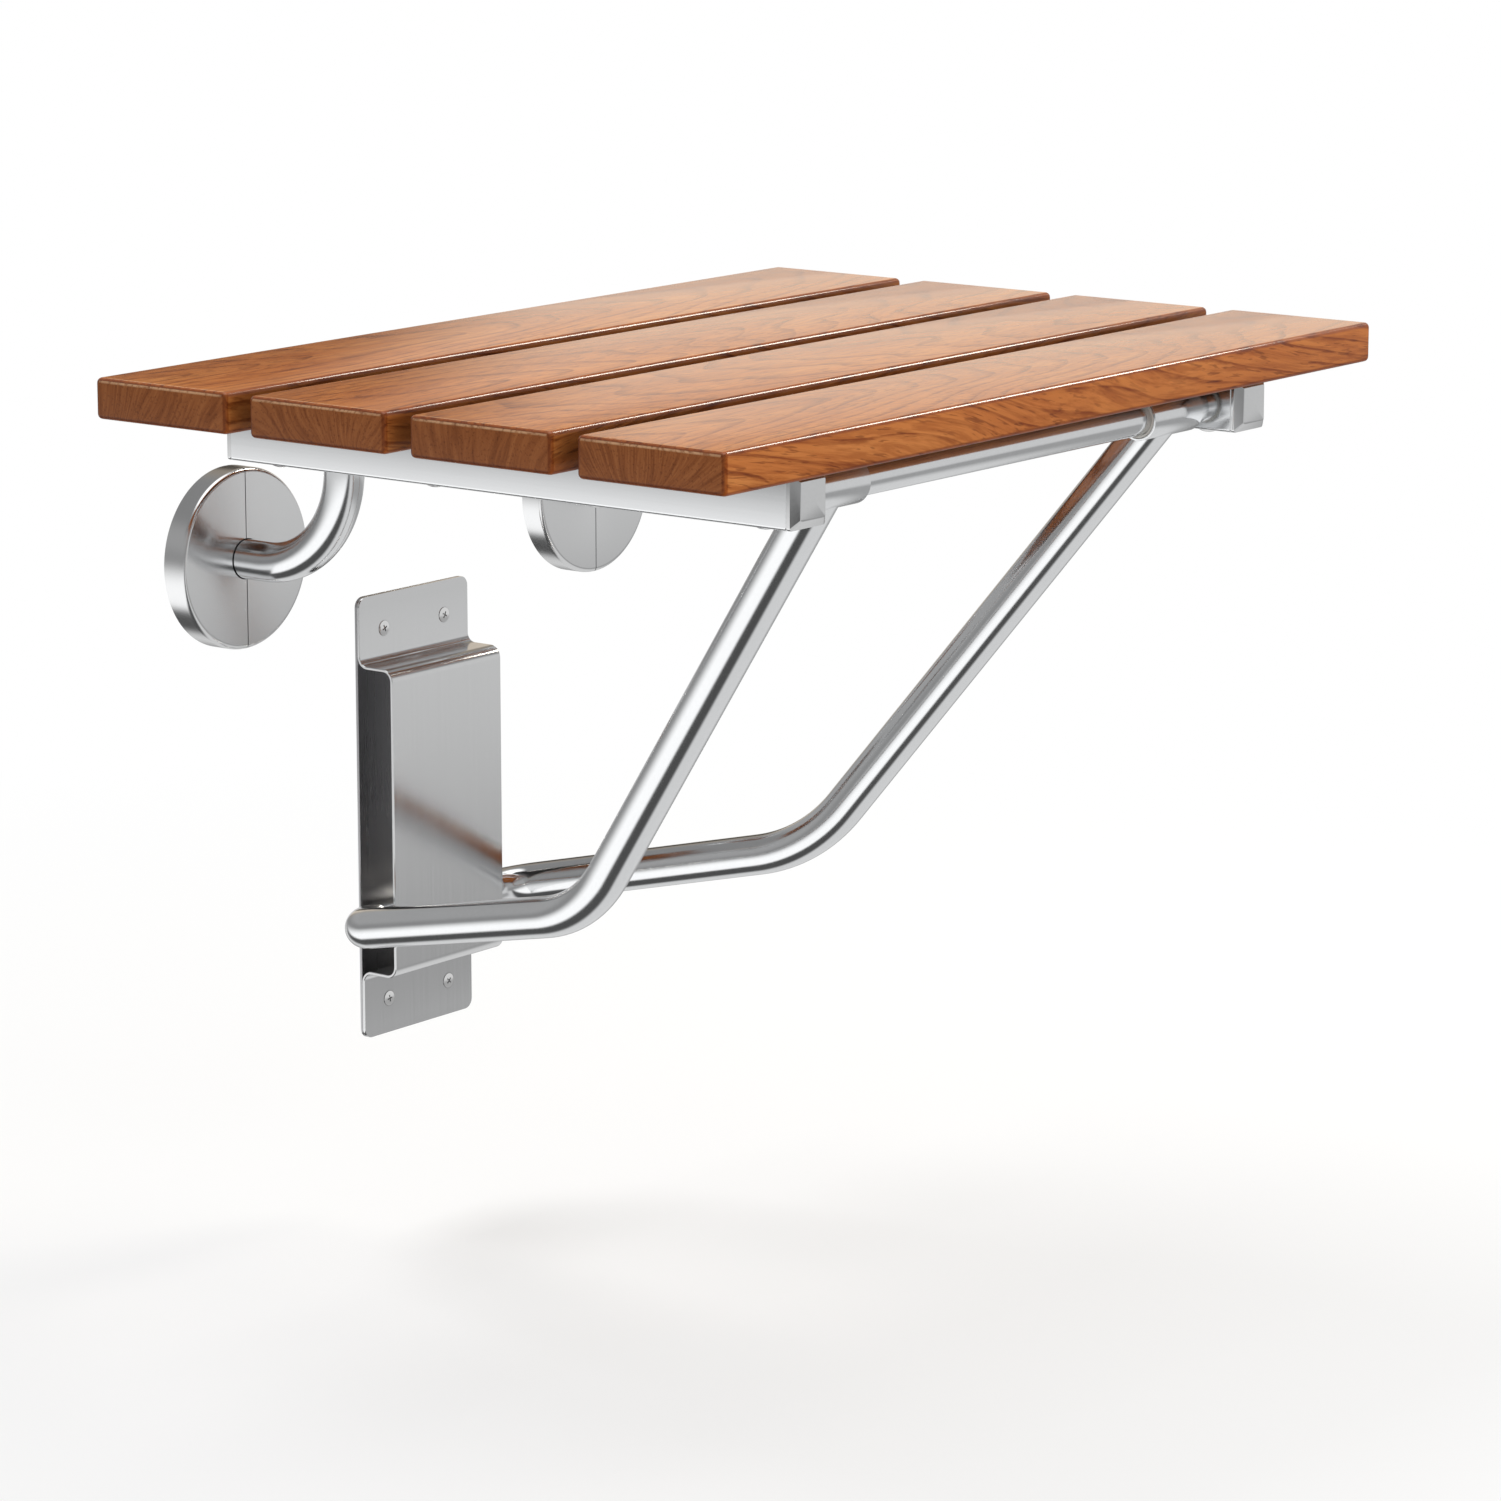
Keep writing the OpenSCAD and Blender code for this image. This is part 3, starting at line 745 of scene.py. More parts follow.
def add_cap(side_name, end_name):
    """End cap: square lip, bevelled nose and a flat face, with eased edges."""
    node = f"{side_name}_{end_name}_cap"
    rail_low, rail_high = box_mm(f"{side_name}_rail")
    centre = (rail_low + rail_high) / 2
    size = rail_high.x - rail_low.x
    outward = -1 if end_name == "front" else 1
    start = rail_low.y if end_name == "front" else rail_high.y
    plug = size - 2 * RAIL_WALL - CAP_PLUG_PLAY
    nose_end = CAP_LIP + CAP_NOSE
    # Distance out of the tube, width and corner radius of each section
    sections = [
        (-CAP_PLUG_LENGTH, plug - 1.0, 0.4),
        (0.5 - CAP_PLUG_LENGTH, plug, 0.5),
        (0.0, plug, 0.5),
        (0.0, size - 2 * EDGE_BREAK, RAIL_CORNER_R - EDGE_BREAK),
        (EDGE_BREAK, size, RAIL_CORNER_R),
        (CAP_LIP - 0.25, size, RAIL_CORNER_R),
        (CAP_LIP + 0.05, size - 0.2, RAIL_CORNER_R - 0.1),
        (CAP_LIP + 0.35, size - 0.95, RAIL_CORNER_R - 0.2),
        (nose_end - 0.4, CAP_NOSE_WIDTH + 1.05, 1.1),
        (nose_end - 0.1, CAP_NOSE_WIDTH + 0.35, 1.0),
        (nose_end, CAP_NOSE_WIDTH - 0.5, 0.9),
    ]
    rings = [
        rect_ring_xz(round_rect_ring(width, width, corner), centre, start + outward * along)
        for along, width, corner in sections
    ]
    verts, faces = skin(rings, cap_ends=True)
    add_piece(f"{node}_body", verts, faces, "seat", cap_steel, node, "rail_cap_steel")


# Cross tubes and the sleeves that turn on them

def add_x_tube(name, node, body, wall, material, slot, edge):
    """Straight tube along x that replaces a node of the same size."""
    size = size_mm(node)
    radius = size.z / 2
    verts, faces = lathe_x(tube_profile(size.x, radius, radius - wall, edge), middle_mm(node))
    add_piece(name, verts, faces, body, material, node, slot)


def add_cross_tubes_and_sleeves():
    """Axle tubes, sleeves and the crossbar in the guide."""
    for end_name in ("rear", "front"):
        node = f"{end_name}_cross_tube"
        add_x_tube(f"{node}_axle", node, "seat", CROSS_WALL, tube_steel, "polished_tube", 0.1)
    for side_name in ("left", "right"):
        for holder, body in (("leg", "legs"), ("arm", "wall_mount")):
            node = f"{side_name}_{holder}_sleeve"
            add_x_tube(f"{node}_tube", node, body, SLEEVE_WALL, tube_steel, "polished_tube", SLEEVE_BREAK)
    add_x_tube("crossbar_tube", "crossbar", "crossbar", LEG_WALL, tube_steel, "polished_tube", 0.1)


# Legs and arms

def add_leg(side_name, side):
    """Bent leg tube from its sleeve to the end of the crossbar."""
    sleeve = middle_mm(f"{side_name}_leg_sleeve")
    sleeve_r = size_mm(f"{side_name}_leg_sleeve").z / 2
    bar = middle_mm("crossbar")
    bar_half = size_mm("crossbar").x / 2
    foot_x = bar_half + FOOT_LENGTH
    corners = [
        sleeve,
        Vector((side * (foot_x + KNEE_OFFSET), -KNEE_STANDOFF, bar.z + KNEE_HEIGHT)),
        Vector((side * foot_x, bar.y, bar.z)),
        Vector((side * bar_half, bar.y, bar.z)),
    ]
    foot_turn = (corners[2] - corners[1]).angle(corners[3] - corners[2])
    foot_bend_r = FOOT_LENGTH / math.tan(foot_turn / 2)
    path = bent_path(corners, [KNEE_BEND_R, foot_bend_r])[:-1]
    verts, faces = bent_tube(path, LEG_R, LEG_WALL, sleeve, sleeve_r)
    node = f"{side_name}_leg_tube"
    add_piece(f"{node}_bent", verts, faces, "legs", tube_steel, node, "polished_tube")


def add_arm(side_name):
    """Bent arm tube from its sleeve down and back to its base plate."""
    sleeve = middle_mm(f"{side_name}_arm_sleeve")
    sleeve_r = size_mm(f"{side_name}_arm_sleeve").z / 2
    corners = [
        sleeve,
        Vector((sleeve.x, sleeve.y, sleeve.z - FLANGE_DROP)),
        Vector((sleeve.x, -BASE_THICKNESS, sleeve.z - FLANGE_DROP)),
    ]
    path = bent_path(corners, [ARM_BEND_R])
    verts, faces = bent_tube(path, ARM_R, ARM_WALL, sleeve, sleeve_r)
    node = f"{side_name}_arm"
    add_piece(f"{node}_bent", verts, faces, "wall_mount", tube_steel, node, "polished_tube")


# Flange covers

def cover_section(radius, depth):
    """Closed section of a cover sheet as (radius, distance from the wall) pairs."""
    outer = [(ARM_R + COVER_HOLE_GAP, depth)]
    edge_centre = (radius - COVER_EDGE_R, depth - COVER_EDGE_R)
    outer += arc_points(edge_centre, COVER_EDGE_R, 90, 0, COVER_EDGE_STEPS)
    outer.append((radius, COVER_BREAK))
    outer.append((radius - COVER_BREAK, 0.0))
    inner = [(radius - COVER_SHEET, 0.0)]
    inner += arc_points(edge_centre, COVER_EDGE_R - COVER_SHEET, 0, 90, COVER_EDGE_STEPS // 2)
    inner.append((ARM_R + COVER_HOLE_GAP, depth - COVER_SHEET))
    return outer + inner


def add_cover_half(node, centre, half, material):
    """Half of a two-piece cover round a centre on the wall, turned through half a circle."""
    size = size_mm(node)
    section = cover_section((size.z - COVER_SEAM) / 2, size.y)
    rings = []
    for k in range(COVER_TURN_STEPS + 1):
        turn = -math.pi / 2 + math.pi * k / COVER_TURN_STEPS
        rings.append([
            centre + Vector((half * (COVER_SEAM / 2 + r * math.cos(turn)), -out, r * math.sin(turn)))
            for r, out in section
        ])
    verts, faces = skin(rings, cap_ends=True)
    add_piece(f"{node}_shell", verts, faces, "wall_mount", material, node, "polished_sheet")


def add_covers():
    """Both two-piece covers, each with its own turning marks."""
    for side_name, side in (("left", LEFT), ("right", RIGHT)):
        sleeve = middle_mm(f"{side_name}_arm_sleeve")
        centre = Vector((sleeve.x, 0, sleeve.z - FLANGE_DROP))
        material = spun_steel(f"spun_steel_{side_name}", centre, SHEET_STEEL)
        add_cover_half(f"{side_name}_cover_outer_half", centre, side, material)
        add_cover_half(f"{side_name}_cover_inner_half", centre, -side, material)


# Wall guide

def channel_half_height():
    """Half the height of the raised channel in the front plate."""
    return size_mm("guide_front_plate").z / 2 - GUIDE_FOOT_HEIGHT


def guide_rows():
    """Rows (outer, inner, half width) of the front plate, from its middle to its top.

    outer and inner are (z, distance from the wall) pairs of the two sides of the sheet.
    """
    size = size_mm("guide_front_plate")
    half_height = size.z / 2
    half_width = size.x / 2
    depth = -box_mm("guide_front_plate")[0].y
    channel_half = channel_half_height()
    foot_r = CHANNEL_BEND_R - GUIDE_SHEET
    rows = [((0, depth), (0, depth - GUIDE_SHEET), half_width)]
    top_centre = (channel_half - CHANNEL_BEND_R, depth - CHANNEL_BEND_R)
    outer = arc_points(top_centre, CHANNEL_BEND_R, 90, 0, CHANNEL_BEND_STEPS)
    inner = arc_points(top_centre, foot_r, 90, 0, CHANNEL_BEND_STEPS)
    rows += [(a, b, half_width) for a, b in zip(outer, inner)]
    foot_centre = (channel_half + foot_r, GUIDE_FACE + foot_r)
    outer = arc_points(foot_centre, foot_r, 180, 270, FOOT_BEND_STEPS)
    inner = arc_points(foot_centre, CHANNEL_BEND_R, 180, 270, FOOT_BEND_STEPS)
    rows += [(a, b, half_width) for a, b in zip(outer, inner)]
    for k in range(CORNER_STEPS + 1):
        turn = math.pi / 2 * k / CORNER_STEPS
        z = half_height - GUIDE_CORNER_R * (1 - math.sin(turn))
        width = half_width - GUIDE_CORNER_R * (1 - math.cos(turn))
        rows.append(((z, GUIDE_FACE), (z, GUIDE_SHEET), width))
    return rows


def sheet_ring(outer, inner, half_width):
    """Cross section of a sheet with broken edges, between its two sides."""
    outer = Vector((0, -outer[1], outer[0]))
    inner = Vector((0, -inner[1], inner[0]))
    ease = SHEET_BREAK / GUIDE_SHEET
    section = [
        (-half_width + SHEET_BREAK, 0), (half_width - SHEET_BREAK, 0),
        (half_width, ease), (half_width, 1 - ease),
        (half_width - SHEET_BREAK, 1), (-half_width + SHEET_BREAK, 1),
        (-half_width, 1 - ease), (-half_width, ease),
    ]
    return [outer.lerp(inner, t) + Vector((x, 0, 0)) for x, t in section]


def add_guide_front():
    """Front plate: flat feet and a raised channel bent from one sheet."""
    upper = guide_rows()
    flip = [((-a[0], a[1]), (-b[0], b[1]), w) for a, b, w in upper[:0:-1]]
    rings = [sheet_ring(a, b, w) for a, b, w in flip + upper]
    verts, faces = skin(rings, cap_ends=True)
    node = "guide_front_plate"
    sheet = add_piece("guide_front_sheet", verts, faces, "wall_mount", plate_steel, node, "polished_sheet")
    sheet.data.materials.append(mill_steel)
    limit = channel_half_height() * MM
    for face in sheet.data.polygons:
        if abs(face.center.z) < limit and face.normal.y > BACK_FACING:
            face.material_index = 1


def add_guide_back():
    """Flat back plate with round corners and broken edges."""
    node = "guide_back_plate"
    size = size_mm(node)
    centre = middle_mm(node)
    full = round_rect_ring(size.x, size.z, GUIDE_CORNER_R)
    broken = 2 * SHEET_BREAK
    eased = round_rect_ring(size.x - broken, size.z - broken, GUIDE_CORNER_R - SHEET_BREAK)
    rings = [
        rect_ring_xz(eased, centre, 0),
        rect_ring_xz(full, centre, -SHEET_BREAK),
        rect_ring_xz(full, centre, SHEET_BREAK - size.y),
        rect_ring_xz(eased, centre, -size.y),
    ]
    verts, faces = skin(rings, cap_ends=True)
    add_piece("guide_back_sheet", verts, faces, "wall_mount", mill_steel, node, "plain_steel")


# Screws

def head_profile(head_r, rim, dome):
    """Half section of a screw head as (height, radius) pairs, from its seat to its top."""
    ball_r = (head_r ** 2 + dome ** 2) / (2 * dome)
    pairs = [(0.0, head_r)]
    if rim:
        pairs.append((rim, head_r))
    for k in range(1, DOME_STEPS):
        r = head_r * (1 - k / DOME_STEPS)
        pairs.append((rim + dome - ball_r + math.sqrt(ball_r ** 2 - r ** 2), r))
    return pairs, rim + dome


def cross_recess(top, depth, span, width):
    """Points and faces of a cross that narrows downward, to be cut into z = top."""
    rings = []
    for z, half_long, half_wide in (
        (top + 1.0, span * 1.1, width),
        (top - depth * 0.35, span * 0.86, width * 0.85),
        (top - depth, span * 0.38, width * 0.5),
    ):
        corners = ((1, 1), (-1, 1), (-1, -1), (1, -1))
        rings.append([Vector((sx * half_long, sy * half_wide, z)) for sx, sy in corners])
    verts, faces = skin(rings, cap_ends=True)
    return repeated(verts, faces, [Matrix.Identity(4), Matrix.Rotation(math.pi / 2, 4, "Z")])


def z_ring(z, radius):
    """Ring of a screw, square to its axis."""
    return circle_ring(Vector((0, 0, z)), Vector((1, 0, 0)), Vector((0, 1, 0)), radius, SCREW_STEPS)


def thread_rings(tip, top, radius):
    """Rings of a thread that winds up from a bevelled tip."""
    rings = []
    rows = math.ceil((top - tip) / THREAD_ROW)
    for row in range(rows + 1):
        z = tip + (top - tip) * row / rows
        bevel = max(0.0, THREAD_DEPTH - (z - tip))
        ring = []
        for k in range(SCREW_STEPS):
            ridge = abs((z / THREAD_PITCH - k / SCREW_STEPS) % 1.0 * 2 - 1)
            r = radius - THREAD_DEPTH * (1 - ridge) - bevel
            turn = 2 * math.pi * k / SCREW_STEPS
            ring.append(Vector((r * math.cos(turn), r * math.sin(turn), z)))
        rings.append(ring)
    return rings


def wall_shank(seat, neck_top):
    """Rings of a wall screw below its head. Its seat, z = 0, stands that far off the wall."""
    rings = thread_rings(-seat - WALL_SCREW_REACH, -seat, WALL_SCREW_R)
    rings.append(z_ring(-seat, WALL_SCREW_R - NECK_STEP))
    rings.append(z_ring(neck_top, WALL_SCREW_R - NECK_STEP))
    return rings


def loose_object(name, verts, faces):
    """Object for a cut, with its faces turned outward."""
    mesh = bpy.data.meshes.new(name)
    mesh.from_pydata(verts, [], faces)
    turned = bmesh.new()
    turned.from_mesh(mesh)
    bmesh.ops.recalc_face_normals(turned, faces=turned.faces)
    turned.to_mesh(mesh)
    turned.free()
    thing = bpy.data.objects.new(name, mesh)
    bpy.context.scene.collection.objects.link(thing)
    return thing


def screw_mesh(head_r, rim, dome, shank):
    """Points and faces of a screw with a cross recess, its axis along z and its seat at 0."""
    profile, top = head_profile(head_r, rim, dome)
    rings = shank + [z_ring(height, radius) for height, radius in profile]
    head = loose_object("head", *skin(rings, cap_ends=True))
    recess = cross_recess(top, head_r * RECESS_DEPTH, head_r * RECESS_SPAN, head_r * RECESS_WIDTH)
    cutter = loose_object("recess", *recess)
    cut = head.modifiers.new("recess", "BOOLEAN")
    cut.operation = "DIFFERENCE"
    cut.object = cutter
    cut.use_self = True
    shown = head.evaluated_get(bpy.context.evaluated_depsgraph_get())
    result = shown.to_mesh()
    verts = [v.co.copy() for v in result.vertices]
    faces = [tuple(f.vertices) for f in result.polygons]
    shown.to_mesh_clear()
    for thing in (head, cutter):
        bpy.data.objects.remove(thing)
    return verts, faces


def repeated(verts, faces, places):
    """Copies of one mesh, each moved by its own matrix."""
    all_verts, all_faces = [], []
    for place in places:
        start = len(all_verts)
        all_verts += [place @ v for v in verts]
        all_faces += [tuple(start + i for i in face) for face in faces]
    return all_verts, all_faces


def add_screws(name, mesh, body, node):
    """Piece for a group of screws."""
    add_piece(name, *mesh, body, screw_steel, node, "screw_steel")


def screw_place(place, tilt, spin):
    """Matrix that turns a screw by spin, tilts it off +z and moves it. Angles in degrees."""
    tilting = Matrix.Rotation(math.radians(tilt), 4, "X")
    return Matrix.Translation(place) @ tilting @ Matrix.Rotation(math.radians(spin), 4, "Z")


def add_guide_screws():
    """Four raised countersunk screws in the corners of the guide, each turned differently."""
    low, high = box_mm("guide_screws")
    half_x = (high.x - low.x) / 2 - GUIDE_HEAD_R
    half_z = (high.z - low.z) / 2 - GUIDE_HEAD_R
    rise = -low.y - GUIDE_FACE
    rim = 0.4 * rise
    taper = GUIDE_HEAD_R - (WALL_SCREW_R - NECK_STEP)
    verts, faces = screw_mesh(GUIDE_HEAD_R, rim, rise - rim, wall_shank(GUIDE_FACE, -taper))
    places = [
        screw_place((sx * half_x, -GUIDE_FACE, sz * half_z), 90, 25 + 37 * k)
        for k, (sx, sz) in enumerate([(-1, 1), (1, 1), (-1, -1), (1, -1)])
    ]
    add_screws("guide_wall_screws", repeated(verts, faces, places), "wall_mount", "guide_screws")


def add_slat_screws(side_name):
    """Pan head screws through one rail, one up into the middle of each slat."""
    node = f"{side_name}_slat_screws"
    low, high = box_mm(node)
    rail_low, rail_high = box_mm(f"{side_name}_rail")
    rail = middle_mm(f"{side_name}_rail")
    rail_height = rail_high.z - rail_low.z
    head_height = rail_low.z - low.z
    shank = thread_rings(rail_low.z - high.z, -rail_height, SLAT_SCREW_R)
    shank.append(z_ring(-rail_height, SLAT_SCREW_R - NECK_STEP))
    shank.append(z_ring(0, SLAT_SCREW_R - NECK_STEP))
    verts, faces = screw_mesh(SLAT_HEAD_R, PAN_RIM, head_height - PAN_RIM, shank)
    places = []
    for number in range(1, 5):
        slat = middle_mm(f"slat_{number}")
        places.append(screw_place((rail.x, slat.y, rail_low.z), 180, 18 + 41 * number))
    add_screws(f"{node}_threaded", repeated(verts, faces, places), "seat", node)


def add_flange_screws(side_name):
    """Three pan head screws that hold the base plate of one arm to the wall."""
    node = f"{side_name}_flange_screws"
    low, high = box_mm(node)
    centre = (low + high) / 2
    circle_r = (high.x - low.x - 2 * BASE_HEAD_R) / 2 / math.cos(math.radians(30))
    dome = -low.y - BASE_THICKNESS - PAN_RIM
    verts, faces = screw_mesh(BASE_HEAD_R, PAN_RIM, dome, wall_shank(BASE_THICKNESS, 0))
    flange_z = high.z - BASE_HEAD_R - circle_r
    places = []
    for k in range(3):
        turn = math.radians(90 + 120 * k)
        x = centre.x + circle_r * math.cos(turn)
        z = flange_z + circle_r * math.sin(turn)
        places.append(screw_place((x, -BASE_THICKNESS, z), 90, 12 + 33 * k))
    add_screws(f"{node}_threaded", repeated(verts, faces, places), "wall_mount", node)


def dress_solids():
    """Materials of the CAD nodes that stay as they are."""
    kept = {"flange_base": plain_steel, "leg_bush": bush_nylon, "arm_bush": bush_nylon}
    for side_name in ("left", "right"):
        for part, material in kept.items():
            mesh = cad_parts[f"{side_name}_{part}"].data
            mesh.materials.clear()
            mesh.materials.append(material)


# Floor, light and camera

# Brightness of each part of the studio
SOFT_LIGHT = 0.45
FLOOR_BOUNCE = 0.5
PANEL_TOP = 0.95
PANEL_FOOT = 1.25
DARK_STRIP = 0.09
PALE_GROUND = 0.76
HORIZON_LEFT = 0.30
HORIZON_RIGHT = 0.70
RIGHT_DIP = 0.40
SIDE_WALL = 0.30
BACK_CORNER = 0.06
LOW_SKY = 0.40
HIGH_SKY = 0.27
CEILING = 1.6
# Square to the plane that parts the white panel from the dark strip
STRIP_NORMAL = (-0.742, 0.258, 0.619)
# Square to the plane that parts the dark strip from the pale ground
GROUND_NORMAL = (-0.954, 0.299, 0.027)
# Where one part of the studio turns into the next: where it starts and where it is whole
PANEL_FADE = (-0.20, -0.42)
STRIP_FADE = (-0.11, 0.06)
GROUND_FADE = (0.10, -0.14)
RIGHT_FADE = (-0.15, 0.25)
CORNER_FADE = (0.36, 0.22)
LEFT_HORIZON_FADE = (-0.28, -0.02)
RIGHT_DIP_FADE = (-0.65, -0.42)
RIGHT_HORIZON_FADE = (-0.28, -0.16)
HORIZON_FADE = (-0.05, 0.05)
LOW_SKY_FADE = (0.02, 0.25)
HIGH_SKY_FADE = (0.42, 0.62)
SIDE_WALL_FADE = (0.24, 0.36)
CEILING_FADE = (0.80, 0.94)
WARM_LAMP = (1.0, 0.95, 0.84)
WARM_WALL = (1.13, 0.99, 0.82, 1.0)
# Direction of the far right corner, turned from the front round to the right
CORNER_TURN = math.radians(130)
# The floor is plain white to the camera beyond the second of these distances
FLOOR_Z = -0.2075
FLOOR_HALF = 40.0
FLOOR_PALE = (0.92, 0.92, 0.92)
FLOOR_DIM = (0.90, 0.90, 0.90)
FLOOR_WHITE_REACH = (0.3, 1.1)
FLOOR_WHITE_START = 0.55
# Points that the lamps look at
SEAT_FRONT = (0, -0.3, 0.23)
LEGS_MIDDLE = (0, -0.2, 0.15)
# Camera solved from the corners of the slats in the photograph
PHOTO_WIDTH = 1501
FOCAL_PIXELS = 5729.4
CAMERA_PLACE = (-2.10413, -1.83029, 0.61567)
CAMERA_RIGHT = (0.609428, -0.792841, -0.000597)
CAMERA_UP = (0.164145, 0.125435, 0.978429)
CAMERA_BACK = (-0.775664, -0.596380, 0.206584)


def add_floor():
    """Wide pale floor below the object, plain white to the camera away from its shadow."""
    mesh = bpy.data.meshes.new("floor")
    corners = [(sx * FLOOR_HALF, sy * FLOOR_HALF, FLOOR_Z) for sx, sy in ((-1, -1), (1, -1), (1, 1), (-1, 1))]
    mesh.from_pydata(corners, [], [(0, 1, 2, 3)])
    floor = bpy.data.objects.new("floor", mesh)
    bpy.context.scene.collection.objects.link(floor)
    material, tree, principled = new_material("floor_white")
    cloud = noise(tree, object_coordinates(tree), 1.5, 2.0)
    tint = two_tone(tree, cloud, FLOOR_DIM, FLOOR_PALE)
    seen = add_node(tree, "ShaderNodeLightPath").outputs["Is Camera Ray"]
    tint = mix_colour(tree, "MIX", seen, (FLOOR_BOUNCE, FLOOR_BOUNCE, FLOOR_BOUNCE, 1), tint)
    set_inputs(tree, principled, {"Base Color": tint, "Roughness": 0.9})
    place = coordinates(tree, "Object")
    reach = add_node(tree, "ShaderNodeVectorMath", {"operation": "LENGTH"}, {0: place}).outputs["Value"]
    far = map_range(tree, reach, *FLOOR_WHITE_REACH, FLOOR_WHITE_START, 1.0)
    white = add_node(tree, "ShaderNodeEmission", {}, {"Color": (1, 1, 1, 1), "Strength": 1.0})
    mixed = add_node(tree, "ShaderNodeMixShader", {}, {
        0: product(tree, far, seen),
        1: principled.outputs[0],
        2: white.outputs[0],
    })
    set_inputs(tree, tree.nodes["Material Output"], {"Surface": mixed.outputs[0]})
    mesh.materials.append(material)
    floor.visible_glossy = False


def add_lamp(name, place, target, size, power, mirrored, colour=(1.0, 1.0, 1.0)):
    """Soft lamp that looks at a target. Mirrors show it only if it is mirrored."""
    data = bpy.data.lights.new(name, "AREA")
    data.shape = "RECTANGLE"
    data.size, data.size_y = size
    data.energy = power
    data.color = colour
    lamp = bpy.data.objects.new(name, data)
    bpy.context.scene.collection.objects.link(lamp)
    aim = Vector(target) - Vector(place)
    lamp.rotation_euler = aim.to_track_quat("-Z", "Y").to_euler()
    lamp.location = place
    lamp.visible_glossy = mirrored


def studio_brightness(tree):
    """Brightness of the studio in each direction, as polished steel shows it.

    Below the horizon a tilted plane parts a white panel from a dark strip, and beyond the
    strip the ground is pale grey. The right side has a bright horizon, a grey wall above it
    and a dark low corner at the back. The left side has a grey sky. The ceiling is white.
    """
    source = coordinates(tree, "Generated")
    x, y, z = split(tree, source)
    beside = vector_node(tree, "DOT_PRODUCT", source, STRIP_NORMAL).outputs["Value"]
    before_ground = vector_node(tree, "DOT_PRODUCT", source, GROUND_NORMAL).outputs["Value"]
    beyond = beyond_corner(tree, x, y)
    on_right = product(tree, smooth_range(tree, x, *RIGHT_FADE), smooth_range(tree, beyond, *CORNER_FADE))

    def faded(place, fade, start, end):
        """Brightness that goes from start to end as place goes through fade."""
        return blend_values(tree, smooth_range(tree, place, *fade), start, end)

    white = smooth_range(tree, z, *PANEL_FADE, PANEL_TOP, PANEL_FOOT)
    low = faded(beside, STRIP_FADE, DARK_STRIP, white)
    low = faded(before_ground, GROUND_FADE, low, PALE_GROUND)
    low_left = faded(z, LEFT_HORIZON_FADE, low, HORIZON_LEFT)
    low_right = faded(z, RIGHT_DIP_FADE, low, RIGHT_DIP)
    low_right = faded(z, RIGHT_HORIZON_FADE, low_right, HORIZON_RIGHT)
    high_left = faded(z, LOW_SKY_FADE, HORIZON_LEFT, LOW_SKY)
    high_left = faded(z, HIGH_SKY_FADE, high_left, HIGH_SKY)
    high_right = faded(z, SIDE_WALL_FADE, HORIZON_RIGHT, SIDE_WALL)
    high_right = blend_values(tree, back_corner(tree, beyond, z), high_right, BACK_CORNER)
    low = blend_values(tree, on_right, low_left, low_right)
    high = blend_values(tree, on_right, high_left, high_right)
    high = faded(z, CEILING_FADE, high, CEILING)
    return faded(z, HORIZON_FADE, low, high)


def beyond_corner(tree, x, y):
    """How far a direction lies past the far right corner, counted toward the back left."""
    across = product(tree, x, math.cos(CORNER_TURN))
    along = product(tree, y, math.sin(CORNER_TURN))
    return math_node(tree, "ADD", across, along)


def back_corner(tree, beyond, z):
    """1 low in the far right corner behind the object, which the tops of the slats mirror."""
    near_side = smooth_range(tree, beyond, -0.01, 0.05)
    far_side = smooth_range(tree, beyond, 0.24, 0.16)
    low = smooth_range(tree, z, 0.45, 0.32)
    return product(tree, near_side, far_side, low)


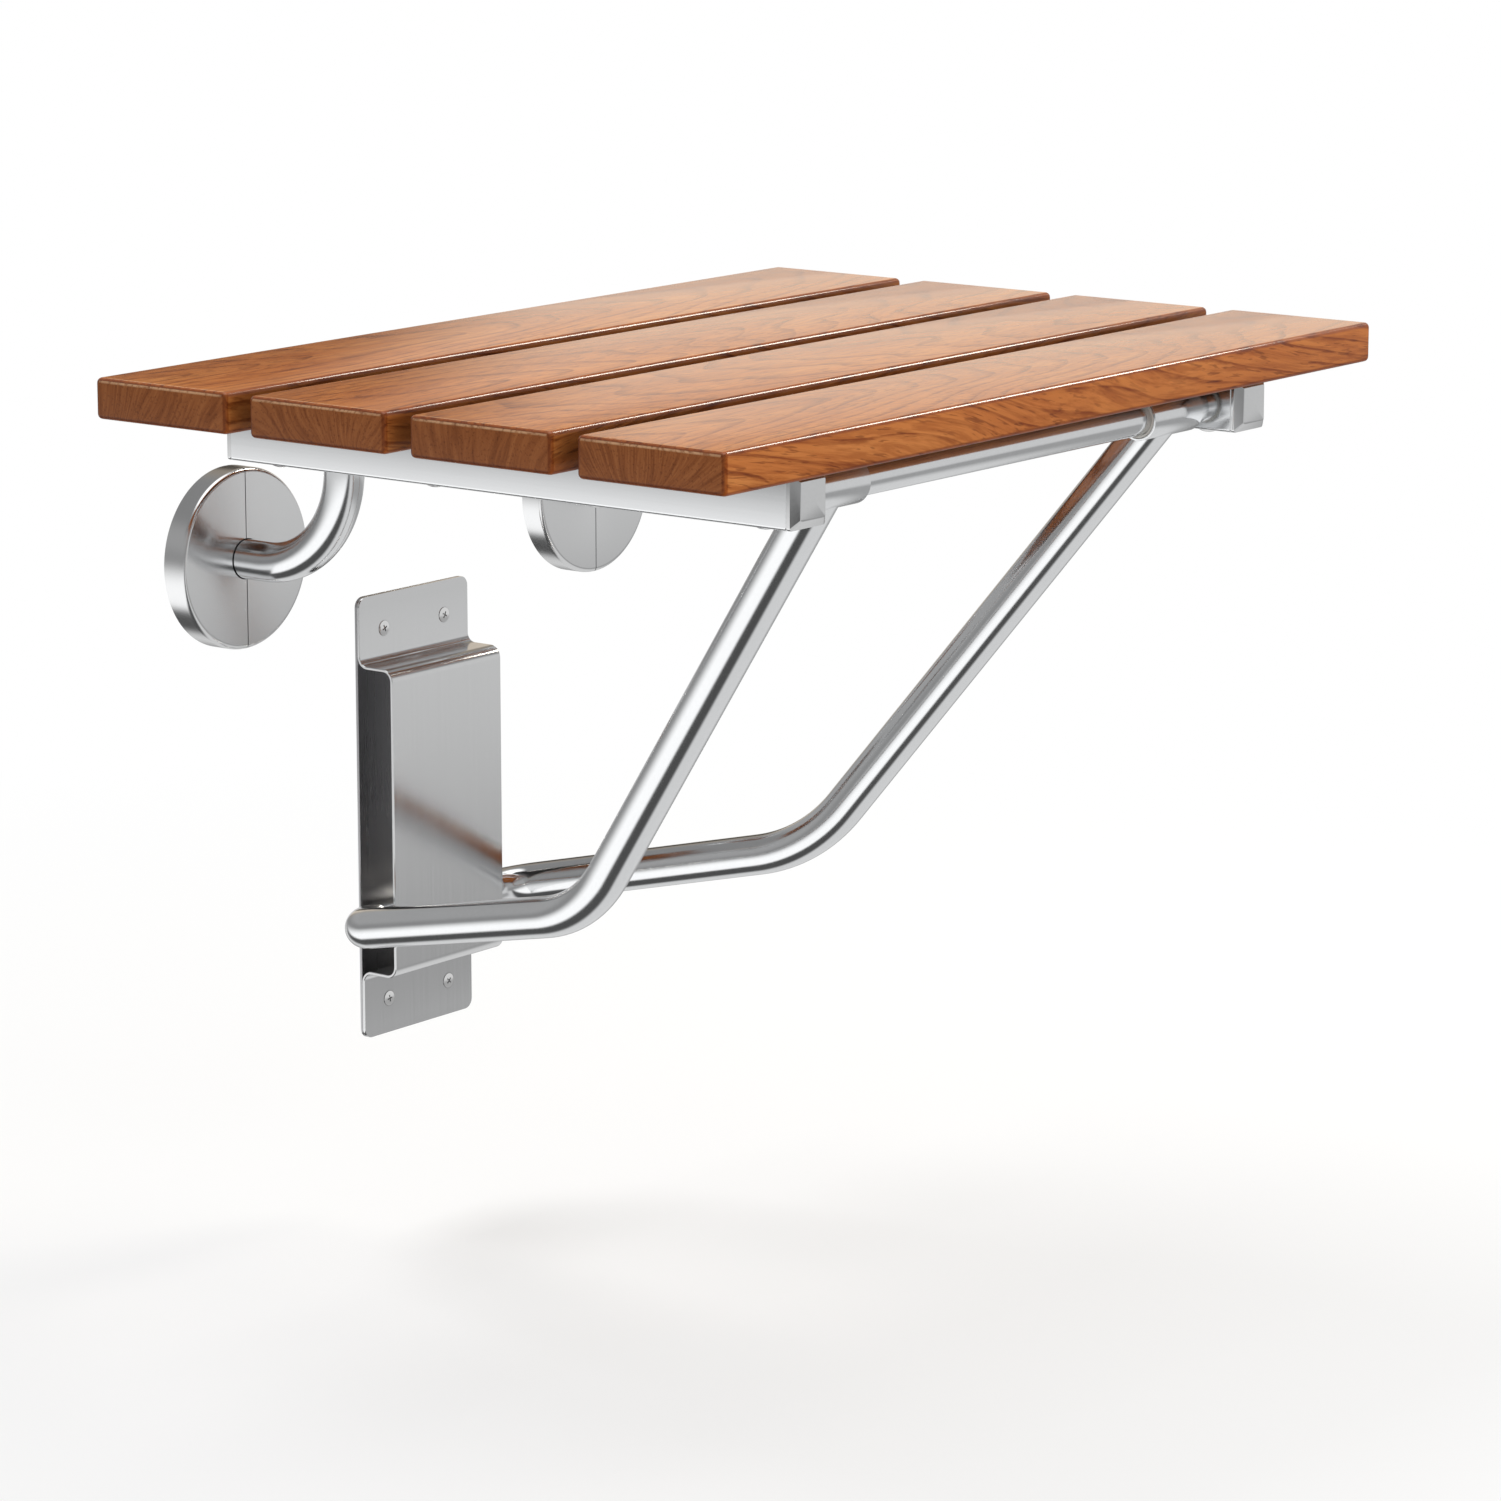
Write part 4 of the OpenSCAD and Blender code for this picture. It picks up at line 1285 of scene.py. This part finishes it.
def set_world():
    """Pale studio: even for soft light, plain white to the camera, shaped for mirrors."""
    world = bpy.data.worlds.new("studio")
    bpy.context.scene.world = world
    world.use_nodes = True
    tree = world.node_tree
    background = tree.nodes["Background"]
    path = add_node(tree, "ShaderNodeLightPath")
    plain = blend_values(tree, path.outputs["Is Camera Ray"], SOFT_LIGHT, 1.0)
    mirrored = path.outputs["Is Glossy Ray"]
    strength = blend_values(tree, mirrored, plain, studio_brightness(tree))
    warmth = product(tree, mirrored, back_right(tree))
    colour = mix_colour(tree, "MIX", warmth, (1, 1, 1, 1), WARM_WALL)
    set_inputs(tree, background, {"Color": colour, "Strength": strength})


def back_right(tree):
    """1 toward the warm wall that stands behind the object on the right."""
    x, y, z = split(tree, coordinates(tree, "Generated"))
    right = smooth_range(tree, x, 0.3, 0.6)
    behind = smooth_range(tree, y, 0.10, 0.40)
    above = smooth_range(tree, z, *HORIZON_FADE)
    return product(tree, right, behind, above)


def add_camera():
    """Camera at the photograph's angle."""
    data = bpy.data.cameras.new("camera")
    data.sensor_fit = "HORIZONTAL"
    data.sensor_width = 36.0
    data.lens = FOCAL_PIXELS / PHOTO_WIDTH * data.sensor_width
    data.clip_end = 200.0
    camera = bpy.data.objects.new("camera", data)
    bpy.context.scene.collection.objects.link(camera)
    turn = Matrix((CAMERA_RIGHT, CAMERA_UP, CAMERA_BACK)).transposed().to_4x4()
    camera.matrix_world = Matrix.Translation(CAMERA_PLACE) @ turn
    bpy.context.scene.camera = camera


add_slats()
for side_name in ("left", "right"):
    add_rail(side_name)
    add_cap(side_name, "front")
    add_cap(side_name, "rear")
    add_slat_screws(side_name)
    add_flange_screws(side_name)
    add_arm(side_name)
add_leg("left", LEFT)
add_leg("right", RIGHT)
add_cross_tubes_and_sleeves()
add_covers()
add_guide_back()
add_guide_front()
add_guide_screws()
dress_solids()

add_floor()
set_world()
add_lamp("right_softbox", (1.88, -0.72, 1.78), SEAT_FRONT, (0.55, 0.95), 26, True, WARM_LAMP)
add_lamp("top_softbox", (0.1, 1.0, 2.6), SEAT_FRONT, (1.4, 1.1), 37, False)
add_lamp("front_fill", (-1.2, -2.8, 0.9), LEGS_MIDDLE, (1.8, 1.4), 24, False)
add_camera()

bpy.context.scene.view_settings.view_transform = "Standard"
